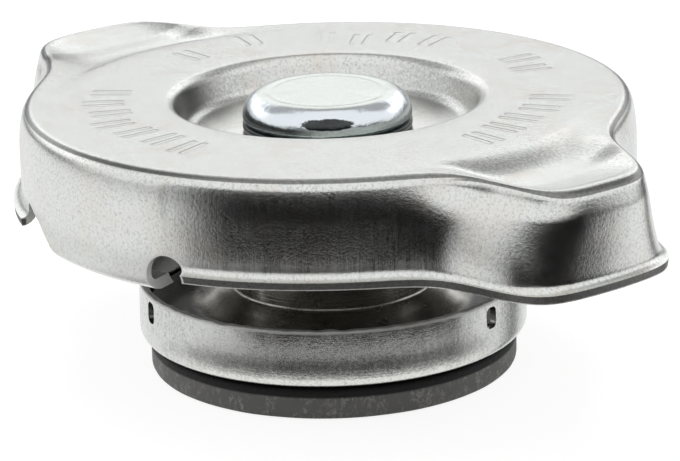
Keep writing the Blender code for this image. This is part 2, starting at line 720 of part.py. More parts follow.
def make_neck_seal(spring_steel, rubber, steel):
    """Turn the sprung diaphragm, the gasket under its edge and the ring that holds the gasket."""
    lip_floor = DIAPHRAGM_FLOOR - DIAPHRAGM_LIP_HEIGHT
    diaphragm = [
        (DIAPHRAGM_RADIUS, DIAPHRAGM_TOP),
        (DIAPHRAGM_RADIUS, lip_floor),
        (DIAPHRAGM_RADIUS - DIAPHRAGM_SHEET, lip_floor),
        (DIAPHRAGM_RADIUS - DIAPHRAGM_SHEET, DIAPHRAGM_FLOOR),
        (SHANK_HOLE_RADIUS, DIAPHRAGM_FLOOR),
        (SHANK_HOLE_RADIUS, DIAPHRAGM_TOP),
    ]
    rounds = [DIAPHRAGM_SHEET, 0.0, 0.0, 0.0, 0.0, 0.0]
    turned("sprung_diaphragm", rounded(diaphragm, rounds), spring_steel)
    top = DIAPHRAGM_FLOOR - CLEARANCE
    washer(
        "neck_gasket",
        GASKET_INNER,
        GASKET_RADIUS,
        top - GASKET_HEIGHT,
        top,
        rubber,
        edge=GASKET_EDGE_ROUND,
    )
    wall = GASKET_RING_RADIUS
    ring = [
        (wall, top),
        (wall, top - GASKET_RING_HEIGHT),
        (wall - GASKET_RING_SHEET, top - GASKET_RING_HEIGHT),
        (wall - GASKET_RING_SHEET, top - GASKET_RING_SHEET),
        (GASKET_RING_INNER, top - GASKET_RING_SHEET),
        (GASKET_RING_INNER, top),
    ]
    turned("gasket_ring", ring, steel)


def make_washers(steel, dark_steel):
    """Turn the washers on the rivet and the seat of the pressure spring."""
    washer(
        "head_washer",
        SHANK_HOLE_RADIUS,
        HEAD_WASHER_RADIUS,
        HEAD_WASHER_FLOOR,
        HEAD_WASHER_TOP,
        dark_steel,
    )
    washer(
        "friction_washer",
        FRICTION_WASHER_INNER,
        FRICTION_WASHER_RADIUS,
        FRICTION_WASHER_FLOOR,
        FRICTION_WASHER_TOP,
        steel,
    )
    washer(
        "tail_washer",
        SHANK_HOLE_RADIUS,
        TAIL_WASHER_RADIUS,
        TAIL_WASHER_FLOOR,
        TAIL_WASHER_TOP,
        steel,
    )
    seat_floor = CUP_FLOOR_TOP + CLEARANCE
    washer(
        "spring_seat",
        SPRING_SEAT_INNER,
        HOUSING_BORE_RADIUS - CLEARANCE,
        seat_floor,
        seat_floor + SPRING_SEAT_SHEET,
        steel,
    )


def main():
    satin_steel = material("satin_steel", (0.62, 0.62, 0.60), 1.0, 0.30)
    zinc_steel = material("zinc_steel", (0.72, 0.75, 0.78), 1.0, 0.18)
    dark_steel = material("dark_steel", (0.16, 0.17, 0.18), 0.9, 0.40)
    plain_steel = material("plain_steel", (0.50, 0.49, 0.47), 1.0, 0.35)
    spring_steel = material("spring_steel", (0.35, 0.35, 0.36), 1.0, 0.30)
    brass = material("brass", (0.72, 0.55, 0.25), 1.0, 0.30)
    rubber = material("black_rubber", (0.03, 0.03, 0.03), 0.0, 0.65)
    make_cover(satin_steel)
    make_rivet(zinc_steel)
    make_washers(plain_steel, dark_steel)
    make_neck_seal(spring_steel, rubber, plain_steel)
    make_housing(plain_steel)
    make_cup(satin_steel)
    make_seal(rubber)
    make_retainer(plain_steel)
    make_vacuum_valve(brass, rubber, plain_steel, spring_steel)
    coil(
        "pressure_spring",
        PRESSURE_SPRING_RADIUS,
        PRESSURE_WIRE,
        CUP_FLOOR_TOP + 2 * CLEARANCE + SPRING_SEAT_SHEET,
        HOUSING_CEILING - CLEARANCE,
        PRESSURE_SPRING_TURNS,
        spring_steel,
    )


main()
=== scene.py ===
"""Looks of a filler neck's pressure cap: the pressed cover, the rivet, the valve cup and its seals.

Sizes are in metres. Angles round the axis are in degrees from -Y towards +X.
The ears lie along X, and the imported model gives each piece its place.
"""

import json
from math import atan2, cos, degrees, hypot, pi, radians, sin

import bmesh
import bpy
from mathutils import Matrix, Vector, noise


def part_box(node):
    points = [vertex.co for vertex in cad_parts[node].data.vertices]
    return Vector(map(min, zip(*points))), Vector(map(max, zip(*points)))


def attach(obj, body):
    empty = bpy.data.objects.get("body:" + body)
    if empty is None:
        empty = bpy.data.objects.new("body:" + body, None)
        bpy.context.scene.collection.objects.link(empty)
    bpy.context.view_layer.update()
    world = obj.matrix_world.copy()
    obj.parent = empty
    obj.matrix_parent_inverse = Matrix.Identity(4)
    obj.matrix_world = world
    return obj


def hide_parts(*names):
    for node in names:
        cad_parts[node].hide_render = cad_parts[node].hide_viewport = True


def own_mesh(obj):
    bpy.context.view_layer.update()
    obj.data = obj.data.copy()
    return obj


bl_info = {
    "name": "Pressure cap",
    "version": (1, 0, 0),
    "blender": (4, 5, 0),
    "location": "View3D > Sidebar > Pressure cap",
    "description": "Models and finishes a pressure cap round its packed frame",
    "category": "Mesh",
}

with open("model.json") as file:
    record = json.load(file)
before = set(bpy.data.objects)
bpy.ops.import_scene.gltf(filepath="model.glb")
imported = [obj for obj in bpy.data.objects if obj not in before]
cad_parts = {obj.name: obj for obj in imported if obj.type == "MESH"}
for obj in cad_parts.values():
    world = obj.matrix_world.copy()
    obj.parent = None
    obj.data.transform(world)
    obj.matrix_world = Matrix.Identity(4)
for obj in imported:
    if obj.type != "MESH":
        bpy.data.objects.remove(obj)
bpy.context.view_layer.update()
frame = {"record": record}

BEHAVIOUR = frame["record"]["behaviour"]
BODY_OF = {node: body for body, nodes in BEHAVIOUR["bodies"].items() for node in nodes}
SLOT_OF = {part["node"]: part["material_slot"] for part in frame["record"]["subparts"]}

# Steps of a full turn: the cover's are fine enough for its ears and stampings
COVER_STEPS = 480
FINE_STEPS = 160
TINY = 0.00001

# Play between pieces that touch
PLAY = 0.0003

# Edges bent by more degrees than this stay sharp
SHARP_ANGLE = 32.0

# The side that the photograph shows, where the marks of use are, in degrees
SHOWN_SIDE = 51.0

BLACK = (0.0, 0.0, 0.0)
WHITE = (1.0, 1.0, 1.0)
FINISH_NAME = "{}_finish"


def reach(node):
    """Return a turned node's outer radius, its floor and its top."""
    low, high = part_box(node)
    return high.x, low.z, high.z


COVER_FLOOR, COVER_TOP = (corner.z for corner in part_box("cover_shell"))


def number(name, description, default, unit="NONE"):
    """Return a property that holds one number."""
    return bpy.props.FloatProperty(name=name, description=description, default=default, unit=unit)


def length(name, description, default):
    return number(name, description, default, "LENGTH")


def paint(name, description, default):
    """Return a property that holds a finish's colour."""
    return bpy.props.FloatVectorProperty(name=name, description=description, subtype="COLOR", default=default)


class CoverSizes(bpy.types.PropertyGroup):
    """Sizes of the pressed cover."""

    sheet: length("Sheet", "Thickness of the sheet", 0.00085)
    recess_foot: length("Recess foot", "Radius of the recess at its floor", 0.0149)
    recess_lip: length("Recess lip", "Radius of the recess at the deck", 0.0161)
    recess_round: length("Recess rounding", "Radius of the recess's two bends", 0.0010)
    web_start: length("Flat deck", "Radius at which the flat deck ends", 0.0288)
    skirt: length("Skirt", "Radius of the skirt", 0.0322)
    shoulder: length("Shoulder", "Radius of the bend from deck to skirt", 0.0014)
    skirt_height: length("Skirt height", "From the deck down to the rim", 0.0106)
    rim_bend: length("Rim bend", "Radius of the rim's turn outwards", 0.0009)
    crest_reach: length("Ear crest", "How far an ear's crest is pulled out", 0.0113)
    crest_half: number("Crest half angle", "Angle at which the crest is halfway out", 13.2)
    rim_reach: length("Ear rim", "How far an ear's rim is pulled out", 0.0109)
    rim_half: number("Rim half angle", "Angle at which the rim is halfway out", 17.3)
    valley: length("Valley", "Depth of the dip between deck and crest", 0.0012)
    lug_start: number("Lug start", "Angle of a lug's sloped end", -22.2)
    lug_end: number("Lug end", "Angle of a lug's notched end", 20.7)
    lug_reach: length("Lug reach", "How far a lug reaches inwards", 0.0037)
    lug_bend: length("Lug bend", "Radius of the lug's bend", 0.0015)
    notch: length("Notch", "Radius of the notch at a lug's end", 0.0023)
    stamp: length("Stamping", "Height of the plain strokes on the deck", 0.00012)


class PieceSizes(bpy.types.PropertyGroup):
    """Sizes of the turned pieces that the frame's boxes don't give."""

    rivet_shank: length("Rivet shank", "Radius of the rivet's shank", 0.0040)
    rivet_head_height: length("Rivet head height", "Height of the rivet's head", 0.0031)
    rivet_foot: length("Rivet head foot", "Radius under the rivet's head", 0.0085)
    rivet_round: length("Rivet rounding", "Width of the head's rounded edge", 0.0022)
    rivet_side: length("Rivet side", "From under the head up to its widest ring", 0.0006)
    rivet_tail: length("Rivet tail", "Radius of the rivet's tail", 0.0056)
    cup_sheet: length("Cup sheet", "Thickness of the cup", 0.0007)
    cup_foot_round: length("Cup foot", "Radius of the cup's foot", 0.0011)
    stake_width: length("Stake width", "Width of a stake's slot in the cup", 0.0017)
    stake_height: length("Stake height", "Height of a stake's slot", 0.0023)
    stake_angle: number("Stake angle", "Angle of the first stake", -16.7)
    housing_wall: length("Housing wall", "Outer radius of the housing's wall", 0.0104)
    housing_shelf: length("Housing shelf", "Radius of the shelf at its foot", 0.0124)
    housing_sheet: length("Housing sheet", "Thickness of the housing", 0.0008)
    seal_land: length("Seal land", "Inner radius of the seal's underside", 0.0113)
    seal_round: length("Seal rounding", "Radius of the seal's edges", 0.0005)


class FinishSettings(bpy.types.PropertyGroup):
    """Colours of the finishes."""

    satin: paint("Satin steel", "Cover", (0.77, 0.77, 0.74))
    cup: paint("Cup steel", "Valve cup", (0.68, 0.68, 0.65))
    zinc: paint("Zinc", "Rivet", (0.80, 0.84, 0.87))
    dark: paint("Dark steel", "Washer under the rivet", (0.12, 0.13, 0.13))
    plain: paint("Plain steel", "Housing and small pieces", (0.56, 0.54, 0.50))
    spring: paint("Spring steel", "Springs and diaphragm", (0.35, 0.35, 0.36))
    brass: paint("Brass", "Vacuum valve", (0.72, 0.55, 0.25))
    rubber: paint("Rubber", "Seals", (0.200, 0.200, 0.190))


class StudioSettings(bpy.types.PropertyGroup):
    """Light, surroundings and camera."""

    azimuth: number("Azimuth", "Camera's angle round the cap, 0 looks along +Y", SHOWN_SIDE)
    elevation: number("Elevation", "Camera's angle above the floor", 18.21)
    roll: number("Roll", "Camera's turn on its own axis", -1.7)
    distance: length("Distance", "From the aim to the camera", 0.3612)
    aim_height: length("Aim height", "Height on the axis that the camera aims at", 0.010)
    lens: number("Lens", "Focal length in millimetres", 180.0)
    key_power: number("Key lamp", "Power of the lamp overhead, in watts", 1.6)
    side_power: number("Side lamps", "Power of each lamp at the side, in watts", 0.5)
    ambient: number("Ambient", "Strength of the light from all round", 0.55)
    front_dark: number("Dark front", "Level of the dark room that metal reflects", 0.008)


def adds(operation, swapped=False):
    """Return an operator that adds a Math node, with its own value last where it is swapped."""

    def method(self, *others):
        values = (*others, self) if swapped else (self, *others)
        return self.graph.maths(operation, *values)

    return method


class Wire:
    """A node's socket, on which arithmetic adds Math nodes."""

    __add__ = __radd__ = adds("ADD")
    __sub__ = adds("SUBTRACT")
    __rsub__ = adds("SUBTRACT", swapped=True)
    __mul__ = __rmul__ = adds("MULTIPLY")
    __truediv__ = adds("DIVIDE")
    __pow__ = adds("POWER")
    __abs__ = adds("ABSOLUTE")

    def __init__(self, graph, socket):
        self.graph = graph
        self.socket = socket


def opaque(value):
    """Return a colour with its alpha, or a wire as it is."""
    return value if isinstance(value, Wire) else (*value, 1.0)


class Graph:
    """A node tree with one way to add a node."""

    def __init__(self, tree):
        self.tree = tree
        tree.nodes.clear()

    def add(self, kind, settings=None, sockets=None, output=0):
        """Add a node, set it up, feed its sockets and return one of its outputs."""
        node = self.tree.nodes.new("ShaderNode" + kind)
        for key, value in (settings or {}).items():
            setattr(node, key, value)
        for key, value in (sockets or {}).items():
            if isinstance(value, Wire):
                self.tree.links.new(value.socket, node.inputs[key])
            else:
                node.inputs[key].default_value = value
        return Wire(self, node.outputs[output]) if node.outputs else None

    def maths(self, operation, *values):
        return self.add("Math", {"operation": operation}, dict(enumerate(values)))

    def higher(self, first, second):
        return self.maths("MAXIMUM", first, second)

    def step(self, value, low, high):
        """Return 0 below one level and 1 above another, smoothly."""
        settings = {"interpolation_type": "SMOOTHSTEP"}
        return self.add("MapRange", settings, {"Value": value, "From Min": low, "From Max": high})

    def fall(self, value, low, high):
        """Return 1 below one level and 0 above another, smoothly."""
        return 1 - self.step(value, low, high)

    def band(self, value, low, high, soft):
        """Return 1 between two levels and 0 outside them, smoothly."""
        return self.step(value, low - soft, low + soft) * self.fall(value, high - soft, high + soft)

    def blend(self, factor, first, second):
        """Mix two colours."""
        sockets = {0: factor, 6: opaque(first), 7: opaque(second)}
        return self.add("Mix", {"data_type": "RGBA"}, sockets, 2)

    def glow(self, kind, colour, strength=1.0):
        """Add a shader that shines."""
        return self.add(kind, {}, {"Color": opaque(colour), "Strength": strength})

    def choose(self, factor, first, second):
        """Mix two shaders."""
        return self.add("MixShader", {}, {0: factor, 1: first, 2: second})

    def ray(self, kind):
        """Return 1 where the ray is of a kind."""
        return self.add("LightPath", output=kind)

    def split(self, vector):
        """Return the three numbers of a vector."""
        node = self.tree.nodes.new("ShaderNodeSeparateXYZ")
        self.tree.links.new(vector.socket, node.inputs[0])
        return [Wire(self, socket) for socket in node.outputs]

    def join(self, x, y, z):
        return self.add("CombineXYZ", {}, {0: x, 1: y, 2: z})

    def cloud(self, vector, scale, detail=3.0, rough=0.55, warp=0.0):
        """Return a noise, whose scale is in cells per metre."""
        sockets = {"Vector": vector, "Scale": scale, "Detail": detail, "Roughness": rough, "Distortion": warp}
        return self.add("TexNoise", {}, sockets)


def out(x, y, angle):
    """Return how far a place lies from the axis towards an angle round it."""
    turn = radians(angle)
    return x * sin(turn) - y * cos(turn)


class Finish(Graph):
    """A material with the places and masks that the cap's finishes share."""

    STROKE_FIELDS = ((-6.0, 43.0), (181.0, 95.0))
    STROKE_PITCH = 10.0
    STROKE_APART = 1.8
    STROKE_HALF = 0.00032
    STROKE_INNER = 0.0205
    STROKE_OUTER = 0.0247

    def __init__(self, name):
        self.material = bpy.data.materials.new(FINISH_NAME.format(name))
        self.material.use_nodes = True
        super().__init__(self.material.node_tree)
        self.place = self.add("TexCoord", output="Object")
        self.x, self.y, self.z = self.split(self.place)
        self.radius = (self.x * self.x + self.y * self.y) ** 0.5
        self.upward = self.split(self.add("TexCoord", output="Normal"))[2]
        self.flatness = abs(self.upward)

    def drawn(self, squeeze, scale, detail=2.0):
        """Return streaks that run down a turned wall."""
        ring = self.higher(self.radius, TINY)
        vector = self.join(self.x / ring * 0.03, self.y / ring * 0.03, self.z * squeeze)
        return self.cloud(vector, scale, detail)

    def mottled(self, scale, detail, rough=0.55, warp=0.0):
        """Return a noise over the whole piece, between -0.5 and 0.5."""
        return self.cloud(self.place, scale, detail, rough, warp) - 0.5

    def side(self, angle):
        """Return 1 towards an angle round the axis, -1 opposite it."""
        return out(self.x, self.y, angle) / self.higher(self.radius, TINY)

    def chance(self, seed):
        """Return a number between 0 and 1 that goes with another one."""
        return self.add("TexWhiteNoise", {"noise_dimensions": "1D"}, {"W": seed})

    def strokes(self):
        """Return two fields of plain paired strokes that point at the axis, 1 on a stroke."""
        angle = self.maths("ARCTAN2", self.x, 0.0 - self.y) * (180.0 / pi)
        total = 0.0
        for middle, span in self.STROKE_FIELDS:
            off = self.maths("WRAP", angle - middle, 180.0, -180.0)
            beside = self.maths("PINGPONG", off + self.STROKE_PITCH * 20, self.STROKE_PITCH / 2)
            near = abs(beside - self.STROKE_APART) * (pi / 180.0) * self.radius
            stroke = self.fall(near, self.STROKE_HALF * 0.55, self.STROKE_HALF * 1.35)
            cell = self.maths("ROUND", off / self.STROKE_PITCH)
            kept = self.step(self.chance(cell + middle), 0.24, 0.26)
            shorter = (self.chance(cell + middle + 0.5) * 0.35) ** 2 * 0.02
            along = self.band(self.radius - shorter, self.STROKE_INNER, self.STROKE_OUTER, 0.00015)
            total = stroke * kept * along * self.fall(abs(off), span, span + 0.5) + total
        return total

    def tinted(self, tone, colour):
        """Return a colour at a tone, from black at 0 to the colour itself at 1."""
        return self.blend(self.higher(tone, 0.0), BLACK, colour)

    def bumped(self, height, depth, under=None):
        """Return a normal that a height of some metres' depth has roughened."""
        sockets = {"Height": height, "Distance": depth, "Strength": 1.0}
        if under is not None:
            sockets["Normal"] = under
        return self.add("Bump", {}, sockets)

    def shade(self, colour, rough, normal, metallic=1.0, specular=0.5):
        """Finish the material with a Principled shader."""
        sockets = {"Base Color": colour, "Roughness": rough, "Normal": normal, "Metallic": metallic}
        sockets["Specular IOR Level"] = specular
        self.add("OutputMaterial", {}, {"Surface": self.add("BsdfPrincipled", {}, sockets)})
        return self.material


def satin_steel(colours):
    """Pressed stainless sheet: a satin deck with plain strokes, and a skirt drawn bright with fine lines."""
    f = Finish("satin_steel")
    s = bpy.context.scene.cap_cover
    above = f.z - (COVER_TOP - s.skirt_height)
    beyond = f.radius - s.skirt
    top = f.step(f.flatness, 0.975, 0.995) * f.fall(COVER_TOP - f.z, 0.0022, 0.0032)
    wall = f.fall(f.flatness, 0.35, 0.75)
    low = wall * f.fall(above, 0.0008, 0.0044)
    lowest = wall * f.fall(above, 0.0008, 0.0030)
    round_wall = f.fall(beyond, 0.0010, 0.0025)

    # The cut edge under the rim, and a painted highlight round the notch where its burr catches light
    burr = above + (beyond - s.rim_bend) * 0.0275
    cut = wall * f.step(beyond, 0.0003, 0.0005) * f.fall(above - s.sheet, -0.00012, -0.00002)
    cut = cut * f.step(burr, 0.00006, 0.00014)
    beside = out(f.x, f.y, s.lug_end + 90.0)
    from_notch = (beside * beside + above * above) ** 0.5
    painted_notch_highlight = f.band(from_notch - s.notch, -0.0001, 0.0002, 0.0001)

    # Painted shade darkens the recess's walls on two sides
    inside = f.fall(f.radius - s.recess_lip, -0.0002, 0.0004)
    recess = inside * f.fall(f.flatness, 0.6, 0.97)
    painted_recess_shade = f.step(f.side(-22.0), 0.25, 0.85) * recess
    painted_right_recess_shade = f.step(f.side(150.0), 0.45, 0.90) * recess
    # The ears' crests get a painted dark reflection along their bends
    upper_bend = f.band(f.flatness, 0.74, 0.93, 0.04) * f.step(beyond, -0.0040, -0.0030)
    outer_bend = f.band(f.flatness, 0.56, 0.93, 0.04) * f.step(beyond, 0.0, 0.0020)
    crest = f.higher(upper_bend, outer_bend) * f.step(above, 0.0060, 0.0070)

    grain = f.mottled(3300.0, 3.0, 0.75)
    blotch = f.cloud(f.place, 160.0, 4.0, 0.6, 0.6)
    smear = f.mottled(620.0, 4.0, 0.65, 0.4)
    streak = (f.drawn(0.03, 9000.0, 3.0) - 0.5) * round_wall
    coarse = f.drawn(0.10, 1500.0, 2.0) - 0.5
    tone = 0.98 + top * 0.12 + (blotch - 0.5) * 0.10 + grain * (1.3 - top * 0.2)
    # Painted light brightens the recess's flat floor
    tone = tone + inside * f.step(f.flatness, 0.97, 0.99) * 0.34
    tone = tone + streak * 0.20 * wall + streak * 0.35 * low
    tone = tone * (1 - cut * 0.78) * (1 - painted_recess_shade * 0.94) * (1 - painted_right_recess_shade * 0.30) * (1 - crest * 0.70)
    warm = f.blend(f.step(blotch, 0.45, 0.75), colours.satin, (0.74, 0.71, 0.66))
    rough = 0.22 + top * 0.04 + cut * 0.15 + smear * 0.08 + streak * 0.10 * wall
    rough = rough + ((0.04 + streak * 0.40) * low + lowest * 0.14) * round_wall
    height = grain * (0.70 + top * 1.10) + streak * (wall * 0.12 + low * 0.25)
    height = height + coarse * (wall * 0.08 + low * 0.15) + streak * cut * 2.0
    lean = f.step(beyond, 0.0020, 0.0050) * f.step(above, 0.0072, 0.0094)
    relief = f.bumped(1 - lean, 0.0003, under=f.bumped(f.strokes() * top, s.stamp))
    return f.shade(
        # The ring round the notch is a painted highlight, pale and less metallic
        f.blend(painted_notch_highlight, f.tinted(tone, warm), (0.95, 0.95, 0.92)),
        f.higher(rough, 0.08),
        f.bumped(height, 0.00003, under=relief),
        metallic=1 - painted_notch_highlight * 0.9,
    )


def cup_steel(colours):
    """Drawn cup: satin, with turning lines and mottled blotches, a painted dark reflection low on its shown
    side, painted shade under its foot and a painted highlight with edge wear on its rim.
    """
    f = Finish("cup_steel")
    foot = reach("lower_seal")[2]
    rim = reach("valve_cup")[2]
    lines = f.cloud(f.join(f.x * 0.02, f.y * 0.02, f.z), 9000.0, 3.0, 0.6) - 0.5
    streak = f.drawn(0.2, 1500.0, 3.0) - 0.5
    blotch = f.mottled(260.0, 4.0, 0.65, 0.8)
    grain = f.mottled(3300.0, 3.0, 0.75)
    # Painted shade darkens the faces that look down, under the foot
    under = f.step(0.0 - f.upward, 0.86, 0.96)
    # A painted highlight, with some edge wear, brightens the rim
    lip = f.fall(rim - f.z, 0.0002, 0.0005)
    # A painted dark reflection darkens a band low on the shown side
    painted_dark_reflection = f.band(f.z - foot, 0.0017, 0.0034, 0.0007) * f.step(f.side(SHOWN_SIDE), 0.45, 0.92)
    tone = 0.96 + blotch * 0.75 + lines * 0.35 + streak * 0.3 + grain * 1.3
    tone = (tone + lip * 0.6) * (1 - under * 0.85) * (1 - painted_dark_reflection * 0.45)
    rough = 0.20 + blotch * 0.12 + grain * 0.12 + lip * 0.30
    height = lines * 0.3 + grain * 0.7 + streak * 0.3
    return f.shade(
        f.tinted(tone, colours.cup),
        f.higher(rough, 0.1),
        f.bumped(height, 0.00003),
        metallic=1 - lip * 0.5,
    )


# The painted dark reflection on the rivet's side: half its width and height, and how far below the top it
# lies
REFLECTION_HALF_WIDTH = 0.0028
REFLECTION_HALF_HEIGHT = 0.0006
REFLECTION_BELOW_TOP = 0.0014


def zinc_steel(colours):
    """Bright zinc plate, slightly blue, with soft dents from the riveting tool and a painted dark reflection
    on its shown side.
    """
    f = Finish("zinc_steel")
    below = reach("centre_rivet")[2] - f.z
    flat = f.step(f.upward, 0.90, 0.985)
    dents = f.mottled(700.0, 3.0, 0.6, 0.5)
    grain = f.mottled(6200.0, 2.0, 0.6)
    ragged = f.mottled(1300.0, 4.0, 0.7, 0.6)
    lower = f.step(below, 0.0014, 0.0024)
    beside = out(f.x, f.y, SHOWN_SIDE + 90.0) / REFLECTION_HALF_WIDTH
    off = (below - REFLECTION_BELOW_TOP) / REFLECTION_HALF_HEIGHT
    oval = f.fall(beside * beside + off * off + ragged * 1.6, 0.80, 1.05)
    # patch here is a painted dark reflection on the shown side
    patch = oval * f.step(f.side(SHOWN_SIDE), 0.0, 0.1) * (1 - flat)
    tone = 1.0 + dents * 0.10 + grain * 0.12 - lower * 0.12 - patch * 0.92
    green = f.blend(lower, f.blend(flat, colours.zinc, (0.71, 0.74, 0.70)), (0.66, 0.74, 0.72))
    rough = 0.17 + flat * 0.11 + dents * 0.08 + grain * 0.08
    height = dents * (1.0 - flat * 0.7) + grain * 0.12
    return f.shade(f.tinted(tone, green), f.higher(rough, 0.05), f.bumped(height, 0.00006))


# Past this radius the housing's flange, deep under the cover, is painted black as shade
PAINTED_SHADE_RADIUS = 0.0142


def worn_metal(name, colour, shadow, rough, line_scale, painted_shade_from=None):
    """Rolled or turned metal with fine rings, patches of a darker tone, and painted shade past a radius."""
    f = Finish(name)
    rings = f.cloud(f.join(f.radius, f.z * 2.0, 0.0), line_scale, 2.0) - 0.5
    patch = f.cloud(f.place, 420.0, 4.0, 0.65, 0.5)
    grain = f.mottled(5200.0, 2.0, 0.7)
    tone = 0.95 + rings * 0.30 + grain * 0.15
    if painted_shade_from:
        # Painted shade blackens the metal past the radius
        tone = tone * (1 - 0.92 * f.step(f.radius, painted_shade_from, painted_shade_from + 0.0010))
    return f.shade(
        f.tinted(tone, f.blend(f.step(patch, 0.42, 0.72), colour, shadow)),
        rough + (patch - 0.5) * 0.2 + grain * 0.1,
        f.bumped(rings + grain * 0.5, 0.00002),
    )


def plain_steel(colours):
    return worn_metal("plain_steel", colours.plain, (0.34, 0.32, 0.28), 0.24, 4200.0, PAINTED_SHADE_RADIUS)


def dark_steel(colours):
    return worn_metal("dark_steel", colours.dark, (0.05, 0.05, 0.05), 0.38, 4800.0)


def spring_steel(colours):
    return worn_metal("spring_steel", colours.spring, (0.20, 0.19, 0.18), 0.28, 5200.0)


def brass(colours):
    return worn_metal("brass", colours.brass, (0.50, 0.36, 0.16), 0.26, 5200.0)


def black_rubber(colours):
    """Moulded rubber: matte, with pale worn specks on its rim and a fine leathery skin."""
    f = Finish("black_rubber")
    above = f.z - reach("lower_seal")[2]
    skin = f.cloud(f.place, 2600.0, 4.0, 0.7)
    wear = f.cloud(f.join(f.x, f.y, f.z * 0.6), 900.0, 5.0, 0.75, 1.0)
    cloudy = f.cloud(f.place, 210.0, 3.0, 0.6)
    specks = f.step(wear, 0.50, 0.56) * f.step(skin, 0.42, 0.58)
    shadow = f.band(above, -0.0010, 0.0009, 0.00015)
    tone = f.blend(specks * 0.85, colours.rubber, (0.46, 0.45, 0.42))
    worn = f.blend(f.step(cloudy, 0.35, 0.70) * 0.6, tone, (0.20, 0.198, 0.188))
    return f.shade(
        f.blend(shadow * 0.97, worn, (0.002, 0.002, 0.002)),
        0.55 + (skin - 0.5) * 0.3,
        f.bumped(skin - 0.5 + (wear - 0.5) * 0.8, 0.00009),
        metallic=0.0,
        specular=0.2,
    )


FINISHES = {
    finish.__name__: finish
    for finish in (
        satin_steel, cup_steel, zinc_steel, dark_steel, plain_steel, spring_steel, brass, black_rubber,
    )
}


def finish_for(slot):
    """Return a slot's material, made the first time it is asked for."""
    made = bpy.data.materials.get(FINISH_NAME.format(slot))
    return made or FINISHES[slot](bpy.context.scene.cap_finish)


def ride_for(piece, node):
    """Let a piece stand for a CAD node, with its slot, its finish and its body."""
    slot = SLOT_OF[node]
    piece.data.materials.clear()
    piece.data.materials.append(finish_for(slot))
    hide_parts(node)
    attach(piece, BODY_OF[node])
    return piece


def placed(name, data):
    """Make an object of some data and put it in the scene."""
    item = bpy.data.objects.new(name, data)
    bpy.context.scene.collection.objects.link(item)
    return item


def smooth(mesh, sharp_angle):
    """Shade a mesh smooth, with sharp edges past an angle."""
    mesh.shade_smooth()
    mesh.set_sharp_from_angle(angle=radians(sharp_angle))


def worked_out(item):
    """Return the mesh that an object's modifiers or its curve give."""
    bpy.context.view_layer.update()
    return bpy.data.meshes.new_from_object(item.evaluated_get(bpy.context.evaluated_depsgraph_get()))


def piece_from(name, bm, sharp_angle=SHARP_ANGLE):
    """Turn a bmesh into a smooth mesh object."""
    mesh = bpy.data.meshes.new(name)
    bm.to_mesh(mesh)
    bm.free()
    smooth(mesh, sharp_angle)
    return placed(name, mesh)


def rounded(bm, edges, amount, segments):
    """Round some edges of a mesh."""
    settings = {"offset_type": "OFFSET", "affect": "EDGES", "profile": 0.5, "material": -1}
    bmesh.ops.bevel(bm, geom=edges, offset=amount, segments=segments, **settings)


def spun(outline, closed=True, steps=FINE_STEPS):
    """Spin an outline, which runs down its outer side, round Z.

    A corner holds its radius and height and, where it is rounded, the rounding's size and steps.
    """
    bm = bmesh.new()
    verts = [bm.verts.new((corner[0], 0.0, corner[1])) for corner in outline]
    edges = [bm.edges.new(pair) for pair in zip(verts, verts[1:])]
    if closed:
        edges.append(bm.edges.new((verts[-1], verts[0])))
    full_turn = {"cent": (0.0, 0.0, 0.0), "axis": (0.0, 0.0, 1.0), "angle": 2 * pi, "use_merge": True}
    bmesh.ops.spin(bm, geom=verts + edges, steps=steps, **full_turn)
    bmesh.ops.remove_doubles(bm, verts=bm.verts, dist=TINY / 10)
    bmesh.ops.recalc_face_normals(bm, faces=bm.faces)
    for radius, height, *rounding in outline:
        if rounding:
            ring = [edge for edge in bm.edges if all(at_ring(vert.co, radius, height) for vert in edge.verts)]
            rounded(bm, ring, *rounding)
    return bm


def at_ring(point, radius, height):
    return abs(hypot(point.x, point.y) - radius) < TINY and abs(point.z - height) < TINY


def turned(name, node, outline, **options):
    """Turn an outline into the piece that stands for a CAD node."""
    return ride_for(piece_from(name, spun(outline, **options)), node)


def flat_ring(name, node, bore, edge=0.0001):
    """Turn a washer that fills a node's box, with its outer edges eased."""
    radius, floor, top = reach(node)
    turned(name, node, [(radius, top, edge, 3), (radius, floor, edge, 3), (bore, floor), (bore, top)])


def mix(first, second, share):
    return first + (second - first) * share


def eased(share):
    """Return a share that starts and stops gently."""
    share = min(max(share, 0.0), 1.0)
    return share * share * (3 - 2 * share)


def around(angle, radius, height):
    """Return the point at an angle in degrees from -Y towards +X."""
    turn = radians(angle)
    return Vector((radius * sin(turn), -radius * cos(turn), height))


def facing(angle, radius, height):
    """Return the placing of a tool whose X points outwards at an angle."""
    place = Matrix.Translation(around(angle, radius, height))
    return place @ Matrix.Rotation(radians(angle - 90.0), 4, "Z")


def carve(piece, tools, sharp_angle=SHARP_ANGLE):
    """Cut tools out of a piece for good, and remove them."""
    for tool in tools:
        cut = piece.modifiers.new(tool.name, "BOOLEAN")
        cut.operation = "DIFFERENCE"
        cut.solver = "EXACT"
        cut.object = tool
    mesh = worked_out(piece)
    piece.modifiers.clear()
    piece.data = mesh
    smooth(mesh, sharp_angle)
    for tool in tools:
        bpy.data.objects.remove(tool)


def folded(angle, centre):
    """Return the angle from the nearer of two opposite features, between -90 and 90."""
    return (angle - centre + 90.0) % 180.0 - 90.0


